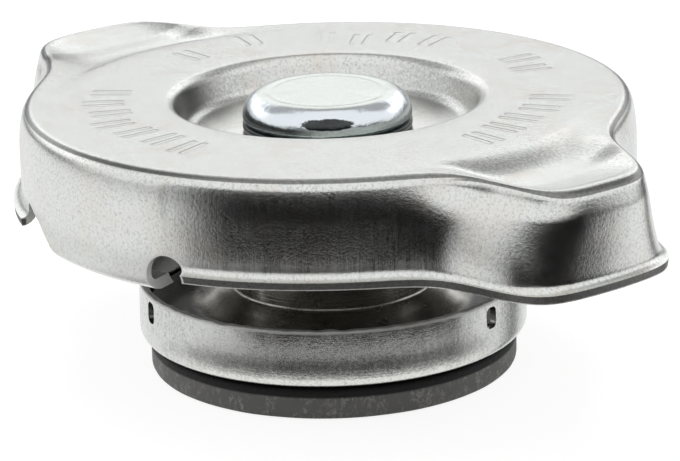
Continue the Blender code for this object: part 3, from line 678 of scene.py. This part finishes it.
class Press:
    """The press tool that gives the plain turned cover its ears and lugs."""

    # The ears: where they are, and how they leave the round skirt at their crest and rim
    EAR_ANGLE = 90.0
    FAR_EAR_SPREAD = 4.5
    CREST_STEEPNESS = 4
    CREST_DROP = 0.0005
    CREST_LEAN = 20.0
    RIM_STEEPNESS = 5
    NEAR_STEEPER = 2
    RIM_DROP = 0.0003
    # The wall: where the rim's bend starts, the bow under the shoulder, and an ear's belly
    BEND_START = 0.74
    BOW = 0.00035
    BOW_HEIGHT = 0.0032
    BELLY = 1.6
    BELLY_SPREAD = 6.0
    CUT_FREE = 0.0013
    # The deck: where the ears' dips start, and their form
    EASE = 0.0016
    DIP_SKEW = 0.734
    DIP_START = 0.45
    # The small waves of a drawn wall: their depth, where they fade, and two scales per metre
    WAVE = 0.00004
    WAVE_END = 0.8
    LONG_WAVE = 130.0
    SHORT_WAVE = 340.0

    def __init__(self, sizes):
        self.sizes = sizes
        self.edge = sizes.skirt - sizes.shoulder
        self.start = sizes.web_start - self.EASE
        self.wall_top = COVER_TOP - sizes.shoulder
        self.rim = COVER_TOP - sizes.skirt_height
        self.lip = self.rim + sizes.sheet

    def bulge(self, angle, half, steepness):
        """Return 1 on an ear's middle, a half at the half angle, and 0 away from it."""
        wider = self.FAR_EAR_SPREAD if (angle + self.EAR_ANGLE) % 360.0 < 90.0 else 0.0
        off = folded(angle, self.EAR_ANGLE)
        if off < 0.0:
            steepness += self.NEAR_STEEPER
        return 1.0 / (1.0 + (abs(off) / (half + wider)) ** steepness)

    def is_lug(self, angle):
        middle = (self.sizes.lug_start + self.sizes.lug_end) / 2
        return abs(folded(angle, middle)) < (self.sizes.lug_end - self.sizes.lug_start) / 2

    def press(self, point):
        """Return where a point of the plain cover ends up."""
        s = self.sizes
        radius = hypot(point.x, point.y)
        angle = degrees(atan2(point.x, -point.y))
        if radius <= self.start:
            return point
        crest = self.bulge(angle, s.crest_half, self.CREST_STEEPNESS)
        tilt = 2 * self.BOW / self.BOW_HEIGHT
        full = radians(90.0 + crest * self.CREST_LEAN)
        centre = (self.edge + crest * s.crest_reach - self.BOW, self.wall_top - crest * self.CREST_DROP)
        if point.z > COVER_TOP - TINY and radius < self.edge + TINY:
            end = self.on_shoulder(centre, full)
            share = (radius - self.start) / (self.edge - self.start)
            dip = crest * s.valley * sin(pi * share**self.DIP_SKEW) * eased(share / self.DIP_START)
            return around(angle, mix(self.start, end[0], share), mix(COVER_TOP, end[1], share) - dip)
        if point.z > self.wall_top + TINY:
            plain = atan2(point.z - self.wall_top, radius - self.edge) / (pi / 2)
            return around(angle, *self.on_shoulder(centre, mix(tilt, full, plain)))
        top = self.on_shoulder(centre, tilt)
        if self.is_lug(angle):
            wall, height = self.lug_point(point.z)
            share = 0.0
        else:
            pulled = self.bulge(angle, s.rim_half, self.RIM_STEEPNESS)
            lip = self.lip - pulled * self.RIM_DROP
            height, outwards = self.wall_step(point.z, top[1], lip)
            share = (top[1] - height) / (top[1] - lip)
            rounder = eased(-folded(angle, self.EAR_ANGLE) / self.BELLY_SPREAD)
            run = mix(share, 1 - max(1 - share, 0.0) ** self.BELLY, rounder)
            wall = mix(top[0] + self.BOW, s.skirt + pulled * s.rim_reach, run) + outwards
        wall -= self.BOW * max(1 - (top[1] - height) / self.BOW_HEIGHT, 0.0) ** 2
        wall += self.wave(angle, point.z) * sin(pi * share * self.WAVE_END)
        return around(angle, wall, height)

    def on_shoulder(self, centre, turn):
        """Return the radius and height at a turn on the bend from deck to skirt."""
        bend = self.sizes.shoulder
        return centre[0] + bend * cos(turn), centre[1] + bend * sin(turn)

    def wall_step(self, plain, top, lip):
        """Return a wall point's height and how far the rim's bend has taken it out."""
        bend = self.sizes.rim_bend
        share = (self.wall_top - plain) / (self.wall_top - self.lip)
        if share <= self.BEND_START:
            return mix(top, lip + bend, share / self.BEND_START), 0.0
        turn = (share - self.BEND_START) / (1 - self.BEND_START) * pi / 2
        return lip + bend * (1 - sin(turn)), bend * (1 - cos(turn))

    def wave(self, angle, height):
        """Return the small unevenness of a drawn wall."""
        spot = around(angle, self.sizes.skirt, height)
        return self.WAVE * (noise.noise(spot * self.LONG_WAVE) + 0.5 * noise.noise(spot * self.SHORT_WAVE))

    def lug_point(self, height):
        """Return the radius and height of a point where the skirt's edge is bent in as a lug."""
        s = self.sizes
        centre_height = COVER_FLOOR + s.lug_bend
        if height > centre_height:
            return s.skirt, height
        run = centre_height - height
        bent = s.lug_bend * pi / 2
        if run > bent:
            return s.skirt - s.lug_bend - (run - bent), COVER_FLOOR
        turn = run / s.lug_bend
        radius = s.skirt - s.lug_bend + s.lug_bend * cos(turn)
        return radius, centre_height - s.lug_bend * sin(turn)

    def flap(self):
        """Return how far below the wall the sheet of a lug reaches before it is bent."""
        s = self.sizes
        return self.lip - COVER_FLOOR - s.lug_bend + s.lug_bend * pi / 2 + s.lug_reach - s.lug_bend

    def is_spare(self, face):
        """Tell the faces under the wall that no lug uses, and those where a lug is cut free."""
        lug = [self.is_lug(degrees(atan2(vert.co.x, -vert.co.y))) for vert in face.verts]
        height = face.calc_center_median().z
        if all(lug):
            return False
        return height < self.lip or (any(lug) and height < self.lip + self.CUT_FREE)


class CAP_OT_cover(bpy.types.Operator):
    """Press the cover with its recess, ears and locking lugs"""

    bl_idname = "cap.cover"
    bl_label = "Cover"

    SHARP_ANGLE = 38.0
    SLIT_HEIGHT = 0.0024
    SLIT_BACK = 0.0003
    SLIT_WIDTH = 0.0078
    SLIT_KNEE = 0.72
    SLIT_SHOULDER = 0.42
    SHOULDER_RISE = 0.6

    def execute(self, context):
        sizes = context.scene.cap_cover
        press = Press(sizes)
        bm = self.plain(sizes, press)
        for vert in bm.verts:
            vert.co = press.press(vert.co)
        piece = piece_from("pressed_cover", bm)
        sheet = piece.modifiers.new("sheet", "SOLIDIFY")
        sheet.thickness = sizes.sheet
        sheet.offset = -1.0
        sheet.use_even_offset = True
        tools = []
        for turn in (0.0, 180.0):
            tools.append(self.notch_tool(sizes.lug_end + turn, sizes, press))
            tools.append(self.slit_tool(sizes.lug_start + turn, sizes, press))
        carve(piece, tools, self.SHARP_ANGLE)
        ride_for(piece, "cover_shell")
        return {"FINISHED"}

    def plain(self, sizes, press):
        """Spin the cover's profile before its ears are pulled, from its hole to its rim."""
        floor = reach("friction_washer")[2] + PLAY + sizes.sheet
        hole_radius = bpy.context.scene.cap_pieces.rivet_shank + 2 * PLAY
        flap_end = press.lip - press.flap()
        outline = [
            (hole_radius, floor), (sizes.recess_foot, floor, sizes.recess_round, 7),
            (sizes.recess_lip, COVER_TOP, sizes.recess_round, 7),
            (press.start, COVER_TOP), (sizes.skirt, COVER_TOP, sizes.shoulder, 9),
            (sizes.skirt, press.lip), (sizes.skirt, flap_end),
        ]
        bm = spun(outline, closed=False, steps=COVER_STEPS)
        self.slice(bm, press.start, press.edge, COVER_TOP, COVER_TOP, 17)
        self.slice(bm, sizes.recess_lip, press.start, COVER_TOP, COVER_TOP, 5)
        self.slice(bm, sizes.skirt, sizes.skirt, press.lip, press.wall_top, 26)
        self.slice(bm, sizes.skirt, sizes.skirt, flap_end, press.lip, 11)
        spare = [face for face in bm.faces if press.is_spare(face)]
        bmesh.ops.delete(bm, geom=spare, context="FACES")
        return bm

    def slice(self, bm, inner, outer, low, high, cuts):
        """Cut a strip of the turned cover into narrower rings."""
        found = []
        for edge in bm.edges:
            ends = [(hypot(vert.co.x, vert.co.y), vert.co.z) for vert in edge.verts]
            radii, heights = (sorted(values) for values in zip(*ends))
            within_radius = radii[0] >= inner - TINY and radii[1] <= outer + TINY
            within_height = heights[0] >= low - TINY and heights[1] <= high + TINY
            runs_down = radii[1] - radii[0] + heights[1] - heights[0] >= 10 * TINY
            if within_radius and within_height and runs_down:
                found.append(edge)
        bmesh.ops.subdivide_edges(bm, edges=found, cuts=cuts, use_grid_fill=True)

    def notch_tool(self, angle, sizes, press):
        """Make the round pin that frees a lug's end."""
        bm = bmesh.new()
        size = sizes.notch
        depth = 4 * sizes.lug_reach
        bmesh.ops.create_cone(bm, cap_ends=True, segments=48, radius1=size, radius2=size, depth=depth)
        bmesh.ops.rotate(bm, verts=bm.verts, matrix=Matrix.Rotation(pi / 2, 3, "Y"))
        bmesh.ops.transform(bm, matrix=facing(angle, sizes.skirt, press.rim), verts=bm.verts)
        return piece_from("notch_tool", bm)

    def slit_tool(self, angle, sizes, press):
        """Make the slanted blade that frees a lug's other end and slopes its corner."""
        floor = 2 * COVER_FLOOR - press.rim
        top = press.rim + self.SLIT_HEIGHT
        bend_top = COVER_FLOOR + sizes.lug_bend
        outline = [
            (-self.SLIT_BACK, top), (-self.SLIT_BACK, floor), (self.SLIT_WIDTH, floor),
            (self.SLIT_WIDTH * self.SLIT_KNEE, bend_top),
            (self.SLIT_WIDTH * self.SLIT_SHOULDER, mix(bend_top, top, self.SHOULDER_RISE)),
            (self.SLIT_BACK, top),
        ]
        depth = 4 * sizes.lug_reach
        bm = bmesh.new()
        blade = bm.faces.new([bm.verts.new((-depth / 2, across, height)) for across, height in outline])
        pulled = bmesh.ops.extrude_face_region(bm, geom=[blade])["geom"]
        far = [item for item in pulled if isinstance(item, bmesh.types.BMVert)]
        bmesh.ops.translate(bm, verts=far, vec=(depth, 0.0, 0.0))
        bmesh.ops.recalc_face_normals(bm, faces=bm.faces)
        bmesh.ops.transform(bm, matrix=facing(angle, sizes.skirt, 0.0), verts=bm.verts)
        return piece_from("slit_tool", bm)


class CAP_OT_rivet(bpy.types.Operator):
    """Turn the rivet and the dark washer under its head"""

    bl_idname = "cap.rivet"
    bl_label = "Rivet"

    EDGE_STEPS = 12
    SMALL_ROUND = 0.0003
    GROOVE_RADIUS = 0.0060
    GROOVE_HALF = 0.00025
    GROOVE_DEPTH = 0.00006
    TAIL_HEIGHT = 0.0012
    DENT = 0.00004
    DENTS_PER_METRE = 420.0

    def execute(self, context):
        sizes = context.scene.cap_pieces
        radius, bottom, top = reach("centre_rivet")
        floor = top - sizes.rivet_head_height
        tail = bottom + self.TAIL_HEIGHT
        side = floor + sizes.rivet_side
        outline = [
            (0.0, top), (self.GROOVE_RADIUS - 2 * self.GROOVE_HALF, top),
            (self.GROOVE_RADIUS - self.GROOVE_HALF, top),
            (self.GROOVE_RADIUS, top - self.GROOVE_DEPTH),
            (self.GROOVE_RADIUS + self.GROOVE_HALF, top),
        ]
        for index in range(self.EDGE_STEPS + 1):
            turn = pi / 2 * (1 - index / self.EDGE_STEPS)
            across = sizes.rivet_round * (cos(turn) - 1)
            outline.append((radius + across, mix(side, top, sin(turn))))
        outline += [
            (sizes.rivet_foot, floor, self.SMALL_ROUND, 4), (sizes.rivet_shank, floor),
            (sizes.rivet_shank, tail), (sizes.rivet_tail, tail),
            (sizes.rivet_tail, bottom, self.SMALL_ROUND, 4), (0.0, bottom),
        ]
        bm = spun(outline, closed=False)
        for vert in bm.verts:
            share = min(hypot(vert.co.x, vert.co.y) / radius, 1.0)
            vert.co.z += noise.noise(vert.co * self.DENTS_PER_METRE) * self.DENT * share
        ride_for(piece_from("rivet", bm), "centre_rivet")
        flat_ring("rivet_washer", "head_washer", sizes.rivet_shank + PLAY)
        return {"FINISHED"}


class CAP_OT_neck_seal(bpy.types.Operator):
    """Turn the friction washer, the sprung diaphragm, its gasket and the gasket's ring"""

    bl_idname = "cap.neck_seal"
    bl_label = "Neck seal"

    SHEET = 0.0004
    RING_INNER = 0.0130
    WASHER_INNER = 0.0052
    GASKET_INNER = 0.0208
    GASKET_EDGE = 0.0003

    def execute(self, context):
        bore = context.scene.cap_pieces.rivet_shank + PLAY
        flat_ring("turning_washer", "friction_washer", self.WASHER_INNER)
        self.turned_down("diaphragm", "sprung_diaphragm", bore, self.SHEET, 4)
        flat_ring("gasket", "neck_gasket", self.GASKET_INNER, self.GASKET_EDGE)
        self.turned_down("gasket_holder", "gasket_ring", self.RING_INNER, self.SHEET * 0.8, 3)
        return {"FINISHED"}

    def turned_down(self, name, node, bore, rounding, steps):
        """Turn a ring of sheet whose outer edge is bent down."""
        radius, low, top = reach(node)
        under = top - self.SHEET
        outline = [
            (radius, top, rounding, steps), (radius, low), (radius - self.SHEET, low),
            (radius - self.SHEET, under), (bore, under), (bore, top),
        ]
        turned(name, node, outline)


class CAP_OT_housing(bpy.types.Operator):
    """Turn the bell-shaped housing, the washer on the rivet's tail and the spring's seat"""

    bl_idname = "cap.housing"
    bl_label = "Spring housing"

    SHELF_HEIGHT = 0.0010
    STEP_HEIGHT = 0.0017
    FOOT_WIDTH = 0.0018
    SEAT_INNER = 0.0062
    CROWN_ROUND = 0.0012
    STEP_ROUND = 0.0003
    FOOT_ROUND = 0.0006

    def execute(self, context):
        sizes = context.scene.cap_pieces
        flange, floor, top = reach("spring_housing")
        sheet = sizes.housing_sheet
        wall = sizes.housing_wall
        shelf_radius = sizes.housing_shelf
        hole = sizes.rivet_shank + PLAY
        flange_top = floor + sheet
        shelf = flange_top + self.SHELF_HEIGHT
        step = flange_top + self.STEP_HEIGHT
        foot = shelf_radius + self.FOOT_WIDTH
        outline = [
            (wall, top, self.CROWN_ROUND, 6), (wall, step, self.STEP_ROUND, 4),
            (shelf_radius, shelf, self.STEP_ROUND, 4),
            (foot, flange_top, self.FOOT_ROUND, 5), (flange, flange_top),
            (flange, floor), (foot - sheet / 2, floor),
            (shelf_radius - sheet / 2, shelf - sheet), (wall - sheet, step - sheet),
            (wall - sheet, top - sheet), (hole, top - sheet), (hole, top),
        ]
        turned("bell_housing", "spring_housing", outline)
        flat_ring("rivet_tail_washer", "tail_washer", hole)
        flat_ring("spring_foot", "spring_seat", self.SEAT_INNER)
        return {"FINISHED"}


class CAP_OT_cup(bpy.types.Operator):
    """Draw the valve cup and press in its stakes"""

    bl_idname = "cap.cup"
    bl_label = "Valve cup"

    TAPER = 0.0001
    HOLE = 0.0038
    INNER_ROUND = 0.0006
    RIM_ROUND = 0.00016
    STAKES = 3
    STAKE_BELOW_RIM = 0.0007
    STAKE_ROUND = 0.36
    RAGGED = 0.00012
    RAGGED_HEIGHT = 0.0004
    RAGS_PER_METRE = 900.0

    def execute(self, context):
        sizes = context.scene.cap_pieces
        foot, floor, rim = reach("valve_cup")
        mouth = foot - self.TAPER
        inner = mouth - sizes.cup_sheet
        cup_floor = floor + sizes.cup_sheet
        outline = [
            (mouth, rim, self.RIM_ROUND, 3), (foot, floor + 2 * sizes.cup_foot_round),
            (foot, floor, sizes.cup_foot_round, 8), (self.HOLE, floor),
            (self.HOLE, cup_floor), (inner, cup_floor, self.INNER_ROUND, 4),
            (inner, rim, self.RIM_ROUND, 3),
        ]
        bm = spun(outline, steps=2 * FINE_STEPS)
        for vert in bm.verts:
            if vert.co.z > rim - self.RAGGED_HEIGHT:
                vert.co.z += self.RAGGED * (noise.noise(vert.co * self.RAGS_PER_METRE) - 0.6)
        piece = piece_from("drawn_cup", bm)
        tools = []
        middle = rim - self.STAKE_BELOW_RIM - sizes.stake_height / 2
        for index in range(self.STAKES):
            angle = sizes.stake_angle + index * 360.0 / self.STAKES
            tools.append(self.stake_tool(angle, mouth, middle, sizes))
        carve(piece, tools)
        ride_for(piece, "valve_cup")
        return {"FINISHED"}

    def stake_tool(self, angle, radius, height, sizes):
        """Make the rounded punch that cuts a stake's slot."""
        bm = bmesh.new()
        bmesh.ops.create_cube(bm, size=1.0)
        size = Vector((4 * sizes.cup_sheet, sizes.stake_width, sizes.stake_height))
        bmesh.ops.scale(bm, vec=size, verts=bm.verts)
        long_edges = [edge for edge in bm.edges if abs(edge.verts[0].co.x - edge.verts[1].co.x) > TINY]
        rounded(bm, long_edges, sizes.stake_width * self.STAKE_ROUND, 5)
        bmesh.ops.transform(bm, matrix=facing(angle, radius, height), verts=bm.verts)
        return piece_from("stake_tool", bm)


class CAP_OT_lower_seal(bpy.types.Operator):
    """Mould the lower seal and press the dished eyelet that holds it"""

    bl_idname = "cap.lower_seal"
    bl_label = "Lower seal"

    LIP = 0.0012
    SHEET = 0.0005
    DISH = 0.0085
    BORE = 0.0030
    FLARE = 0.0055
    BEND = 0.0003
    UNEVEN = 0.00006
    LUMPS_PER_METRE = 240.0

    def execute(self, context):
        sizes = context.scene.cap_pieces
        radius, floor, top = reach("lower_seal")
        lip = top - self.LIP
        inner = self.DISH + PLAY
        outline = [
            (radius, top, sizes.seal_round, 5),
            (radius, floor, sizes.seal_round * 1.4, 5),
            (sizes.seal_land, floor, sizes.seal_round, 4), (sizes.seal_land, lip),
            (inner, lip), (inner, top),
        ]
        bm = spun(outline, steps=2 * FINE_STEPS)
        for vert in bm.verts:
            if vert.co.z > floor + TINY:
                outwards = Vector((vert.co.x, vert.co.y, 0.0)).normalized()
                vert.co -= outwards * self.UNEVEN * (1 + noise.noise(vert.co * self.LUMPS_PER_METRE))
        ride_for(piece_from("moulded_seal", bm), "lower_seal")
        self.eyelet(top, lip - PLAY)
        return {"FINISHED"}

    def eyelet(self, seal_top, flange_top):
        """Turn the dished eyelet through the cup's floor."""
        flange, _, flare_top = reach("seal_retainer")
        sheet = self.SHEET
        outline = [
            (self.FLARE, flare_top), (self.FLARE, flare_top - sheet),
            (self.BORE + sheet, flare_top - sheet), (self.BORE + sheet, seal_top),
            (self.DISH, seal_top), (self.DISH, flange_top), (flange, flange_top),
            (flange, flange_top - sheet, self.BEND / 2, 3),
            (self.DISH - sheet, flange_top - sheet, self.BEND, 4),
            (self.DISH - sheet, seal_top - sheet),
            (self.BORE, seal_top - sheet, self.BEND, 4), (self.BORE, flare_top),
        ]
        turned("eyelet", "seal_retainer", outline)


class CAP_OT_vacuum_valve(bpy.types.Operator):
    """Turn the vacuum valve with its rubber face and its spring's cap"""

    bl_idname = "cap.vacuum_valve"
    bl_label = "Vacuum valve"

    STEPS = 96
    DISC = 0.0007
    STEM = 0.0012
    HEAD = 0.0019
    HEAD_HEIGHT = 0.0007
    EDGE_ROUND = 0.0003
    SEAL_BORE = 0.0033

    def execute(self, context):
        radius, floor, top = reach("vacuum_valve")
        head = top - self.HEAD_HEIGHT
        disc = floor + self.DISC
        outline = [
            (0.0, top), (self.HEAD, top, self.EDGE_ROUND, 4), (self.HEAD, head),
            (self.STEM, head), (self.STEM, disc),
            (radius, disc, self.EDGE_ROUND / 3, 2), (radius, floor, self.EDGE_ROUND, 4),
            (0.0, floor),
        ]
        turned("vacuum_stem", "vacuum_valve", outline, closed=False, steps=self.STEPS)
        flat_ring("vacuum_face", "vacuum_seal", self.SEAL_BORE)
        flat_ring("vacuum_keeper", "vacuum_spring_cap", self.STEM + PLAY)
        return {"FINISHED"}


class CAP_OT_springs(bpy.types.Operator):
    """Wind the pressure spring and the vacuum spring"""

    bl_idname = "cap.springs"
    bl_label = "Springs"

    WOUND = (("pressure_coil", "pressure_spring", 0.0018), ("vacuum_coil", "vacuum_spring", 0.0005))
    TURNS = 5
    STEPS = 40
    SHARP_ANGLE = 50.0

    def execute(self, context):
        for name, node, wire in self.WOUND:
            self.wind(name, node, wire)
        return {"FINISHED"}

    def wind(self, name, node, wire):
        """Sweep a round wire along a coil with closed ends."""
        outer, floor, top = reach(node)
        radius = outer - wire / 2
        low = floor + wire / 2
        height = top - wire / 2 - low
        end_rise = wire + PLAY / 2
        active_rise = (height - 2 * end_rise) / (self.TURNS - 2)
        curve = bpy.data.curves.new(name, "CURVE")
        curve.dimensions = "3D"
        curve.bevel_depth = wire / 2
        curve.bevel_resolution = 4
        curve.use_fill_caps = True
        spline = curve.splines.new("POLY")
        count = self.TURNS * self.STEPS + 1
        spline.points.add(count - 1)
        for index in range(count):
            turn = index / self.STEPS
            rise = min(turn, 1) * end_rise
            rise += min(max(turn - 1, 0), self.TURNS - 2) * active_rise
            rise += max(turn - self.TURNS + 1, 0) * end_rise
            angle = 2 * pi * turn
            spline.points[index].co = (radius * cos(angle), radius * sin(angle), low + rise, 1)
        self.squeeze(self.meshed(name, curve, node), node)

    def meshed(self, name, curve, node):
        """Turn a curve into the mesh piece that stands for a CAD node."""
        maker = placed(name, curve)
        mesh = worked_out(maker)
        bpy.data.objects.remove(maker)
        bm = bmesh.new()
        bm.from_mesh(mesh)
        bmesh.ops.remove_doubles(bm, verts=bm.verts, dist=TINY / 10)
        bpy.data.meshes.remove(mesh)
        return ride_for(piece_from(name, bm, self.SHARP_ANGLE), node)

    def squeeze(self, coil, node):
        """Give a coil its own copy of its mesh where a joint deforms its node."""
        for joint in BEHAVIOUR["joints"]:
            for change in joint.get("deforming_nodes", []):
                if change["node"] == node:
                    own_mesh(coil)


class CAP_OT_stage(bpy.types.Operator):
    """Set up the floor, the lamps, the surroundings and the camera"""

    bl_idname = "cap.stage"
    bl_label = "Stage"

    PHOTO_WIDTH = 680.0
    PHOTO_HEIGHT = 461.0
    AIM_PIXEL_X = 332.0
    AIM_PIXEL_Y = 267.3
    SENSOR_WIDTH = 36.0
    FLOOR_SIZE = 6.0
    PAPER_NEAR = 0.062
    PAPER_FAR = 0.085
    # The angle from the camera and the elevation of each lamp, and its distance and size
    KEY_LAMP = (175.0, 74.0, 0.60, 0.46)
    LEFT_LAMP = (-96.0, 30.0, 0.55, 0.30)
    RIGHT_LAMP = (100.0, 30.0, 0.55, 0.30)

    def execute(self, context):
        studio = context.scene.cap_studio
        context.scene.view_settings.view_transform = "Standard"
        self.floor(studio)
        self.surroundings(studio)
        self.lamp("key_lamp", studio, studio.key_power, *self.KEY_LAMP)
        self.lamp("left_lamp", studio, studio.side_power, *self.LEFT_LAMP)
        self.lamp("right_lamp", studio, studio.side_power, *self.RIGHT_LAMP)
        self.camera(studio)
        return {"FINISHED"}

    def floor(self, studio):
        """Lay a pale floor that stays white for the camera and keeps the shadow."""
        bm = bmesh.new()
        bmesh.ops.create_grid(bm, x_segments=1, y_segments=1, size=self.FLOOR_SIZE / 2)
        floor = piece_from("floor", bm)
        material = bpy.data.materials.new("floor")
        material.use_nodes = True
        g = Graph(material.node_tree)
        seen = g.ray("Is Camera Ray")
        glossy = g.ray("Is Glossy Ray")
        x, y, _ = g.split(g.add("TexCoord", output="Object"))
        radius = (x * x + y * y) ** 0.5
        ahead = out(x, y, studio.azimuth) / radius

        # What the metal sees: a grey floor in front, paler under the cap, with a dark ring round it
        near = g.fall(radius, self.PAPER_NEAR, self.PAPER_FAR) * g.step(ahead, 0.15, 0.75)
        ring = g.band(radius, 0.0345, 0.0460, 0.0020) * g.step(ahead, 0.78, 0.92)
        level = 0.28 + 0.45 * g.step(radius, 0.045, 0.052) + 0.80 * g.fall(radius, 0.029, 0.0345)

        diffuse = g.add("BsdfDiffuse", {}, {"Color": (0.30, 0.30, 0.30, 1.0)})
        lit = g.add("AddShader", {}, {0: diffuse, 1: g.glow("Emission", seen * 0.86)})
        clear = g.add("BsdfTransparent")
        mirrored = g.choose(near, clear, g.glow("Emission", level * (1 - ring)))
        g.add("OutputMaterial", {}, {"Surface": g.choose(glossy, lit, mirrored)})
        floor.data.materials.append(material)

    def surroundings(self, studio):
        """Surround the cap with white, and with the dark room in front that its metal reflects."""
        world = bpy.data.worlds.new("studio")
        world.use_nodes = True
        bpy.context.scene.world = world
        g = Graph(world.node_tree)
        x, y, z = g.split(g.add("TexCoord", output="Generated"))
        ahead = out(x, y, studio.azimuth)
        side = g.maths("ARCTAN2", out(x, y, studio.azimuth + 90.0), ahead) * (180.0 / pi)

        # Sides are in degrees from the camera, and z is the height of a direction, 1 straight up
        away = g.step(abs(side), 95.0, 115.0)
        front = g.step(side, -68.0, -42.0) * g.fall(side, 74.0, 86.0) * g.fall(z, 0.25, 0.32)
        strip = g.band(side, 122.0, 140.0, 5.0) * g.fall(z, 0.10, 0.20)
        behind = away * g.step(z, -0.01, 0.01) * g.fall(z, 0.0, 0.28)
        horizon = g.band(z, -0.04, 0.05, 0.015)
        upper = g.band(z, 0.60, 0.90, 0.03) * away
        rear = g.band(z, 0.22, 0.56, 0.04) * away
        shade = (1 - (1 - studio.front_dark) * front) * (1 - 0.7 * behind) * (1 - 0.75 * horizon)
        shade = shade * (1 - 0.55 * upper) * (1 - 0.8 * strip) * (1 + 0.40 * rear)

        mirrored = g.glow("Background", (0.97, 0.985, 1.0), shade)
        soft = g.glow("Background", WHITE, studio.ambient)
        lit = g.choose(g.ray("Is Glossy Ray"), soft, mirrored)
        seen = g.choose(g.ray("Is Camera Ray"), lit, g.glow("Background", WHITE))
        g.add("OutputWorld", {}, {"Surface": seen})

    def lamp(self, name, studio, power, angle, elevation, distance, size):
        """Hang a square lamp that faces the cap."""
        data = bpy.data.lights.new(name, "AREA")
        data.shape = "SQUARE"
        data.size = size
        data.energy = power
        lamp = placed(name, data)
        lamp.visible_glossy = False
        self.aim(lamp, studio, studio.azimuth + angle, elevation, distance)

    def aim(self, item, studio, azimuth, elevation, distance, roll=0.0):
        """Put a lamp or a camera somewhere round the cap, and turn it to the aim."""
        flat = cos(radians(elevation))
        away = around(azimuth, flat, sin(radians(elevation)))
        item.location = away * distance + Vector((0.0, 0.0, studio.aim_height))
        straight = (-away).to_track_quat("-Z", "Y").to_matrix()
        item.rotation_euler = (straight @ Matrix.Rotation(radians(roll), 3, "Z")).to_euler()

    def camera(self, studio):
        """Place the camera so that the aim falls on its pixel of the photograph."""
        data = bpy.data.cameras.new("photo_camera")
        data.lens = studio.lens
        data.sensor_width = self.SENSOR_WIDTH
        data.shift_x = (self.PHOTO_WIDTH / 2 - self.AIM_PIXEL_X) / self.PHOTO_WIDTH
        data.shift_y = (self.AIM_PIXEL_Y - self.PHOTO_HEIGHT / 2) / self.PHOTO_WIDTH
        data.clip_start = 0.01
        camera = placed("photo_camera", data)
        self.aim(camera, studio, studio.azimuth, studio.elevation, studio.distance, studio.roll)
        bpy.context.scene.camera = camera


OPERATORS = (
    CAP_OT_cover,
    CAP_OT_rivet,
    CAP_OT_neck_seal,
    CAP_OT_housing,
    CAP_OT_cup,
    CAP_OT_lower_seal,
    CAP_OT_vacuum_valve,
    CAP_OT_springs,
    CAP_OT_stage,
)
GROUPS = {
    "cap_cover": CoverSizes,
    "cap_pieces": PieceSizes,
    "cap_finish": FinishSettings,
    "cap_studio": StudioSettings,
}


class CAP_PT_panel(bpy.types.Panel):
    """Sizes, finishes and pieces of the pressure cap"""

    bl_idname = "CAP_PT_panel"
    bl_label = "Pressure cap"
    bl_space_type = "VIEW_3D"
    bl_region_type = "UI"
    bl_category = "Pressure cap"

    def draw(self, context):
        for operator in OPERATORS:
            self.layout.operator(operator.bl_idname)
        for name, group in GROUPS.items():
            box = self.layout.box()
            for prop in group.__annotations__:
                box.prop(getattr(context.scene, name), prop)


CLASSES = (*GROUPS.values(), *OPERATORS, CAP_PT_panel)


def register():
    for item in CLASSES:
        bpy.utils.register_class(item)
    for name, group in GROUPS.items():
        setattr(bpy.types.Scene, name, bpy.props.PointerProperty(type=group))


def unregister():
    for name in GROUPS:
        delattr(bpy.types.Scene, name)
    for item in reversed(CLASSES):
        bpy.utils.unregister_class(item)


def main():
    register()
    bpy.ops.cap.cover()
    bpy.ops.cap.rivet()
    bpy.ops.cap.neck_seal()
    bpy.ops.cap.housing()
    bpy.ops.cap.cup()
    bpy.ops.cap.lower_seal()
    bpy.ops.cap.vacuum_valve()
    bpy.ops.cap.springs()
    bpy.ops.cap.stage()


if __name__ == "__main__":
    main()
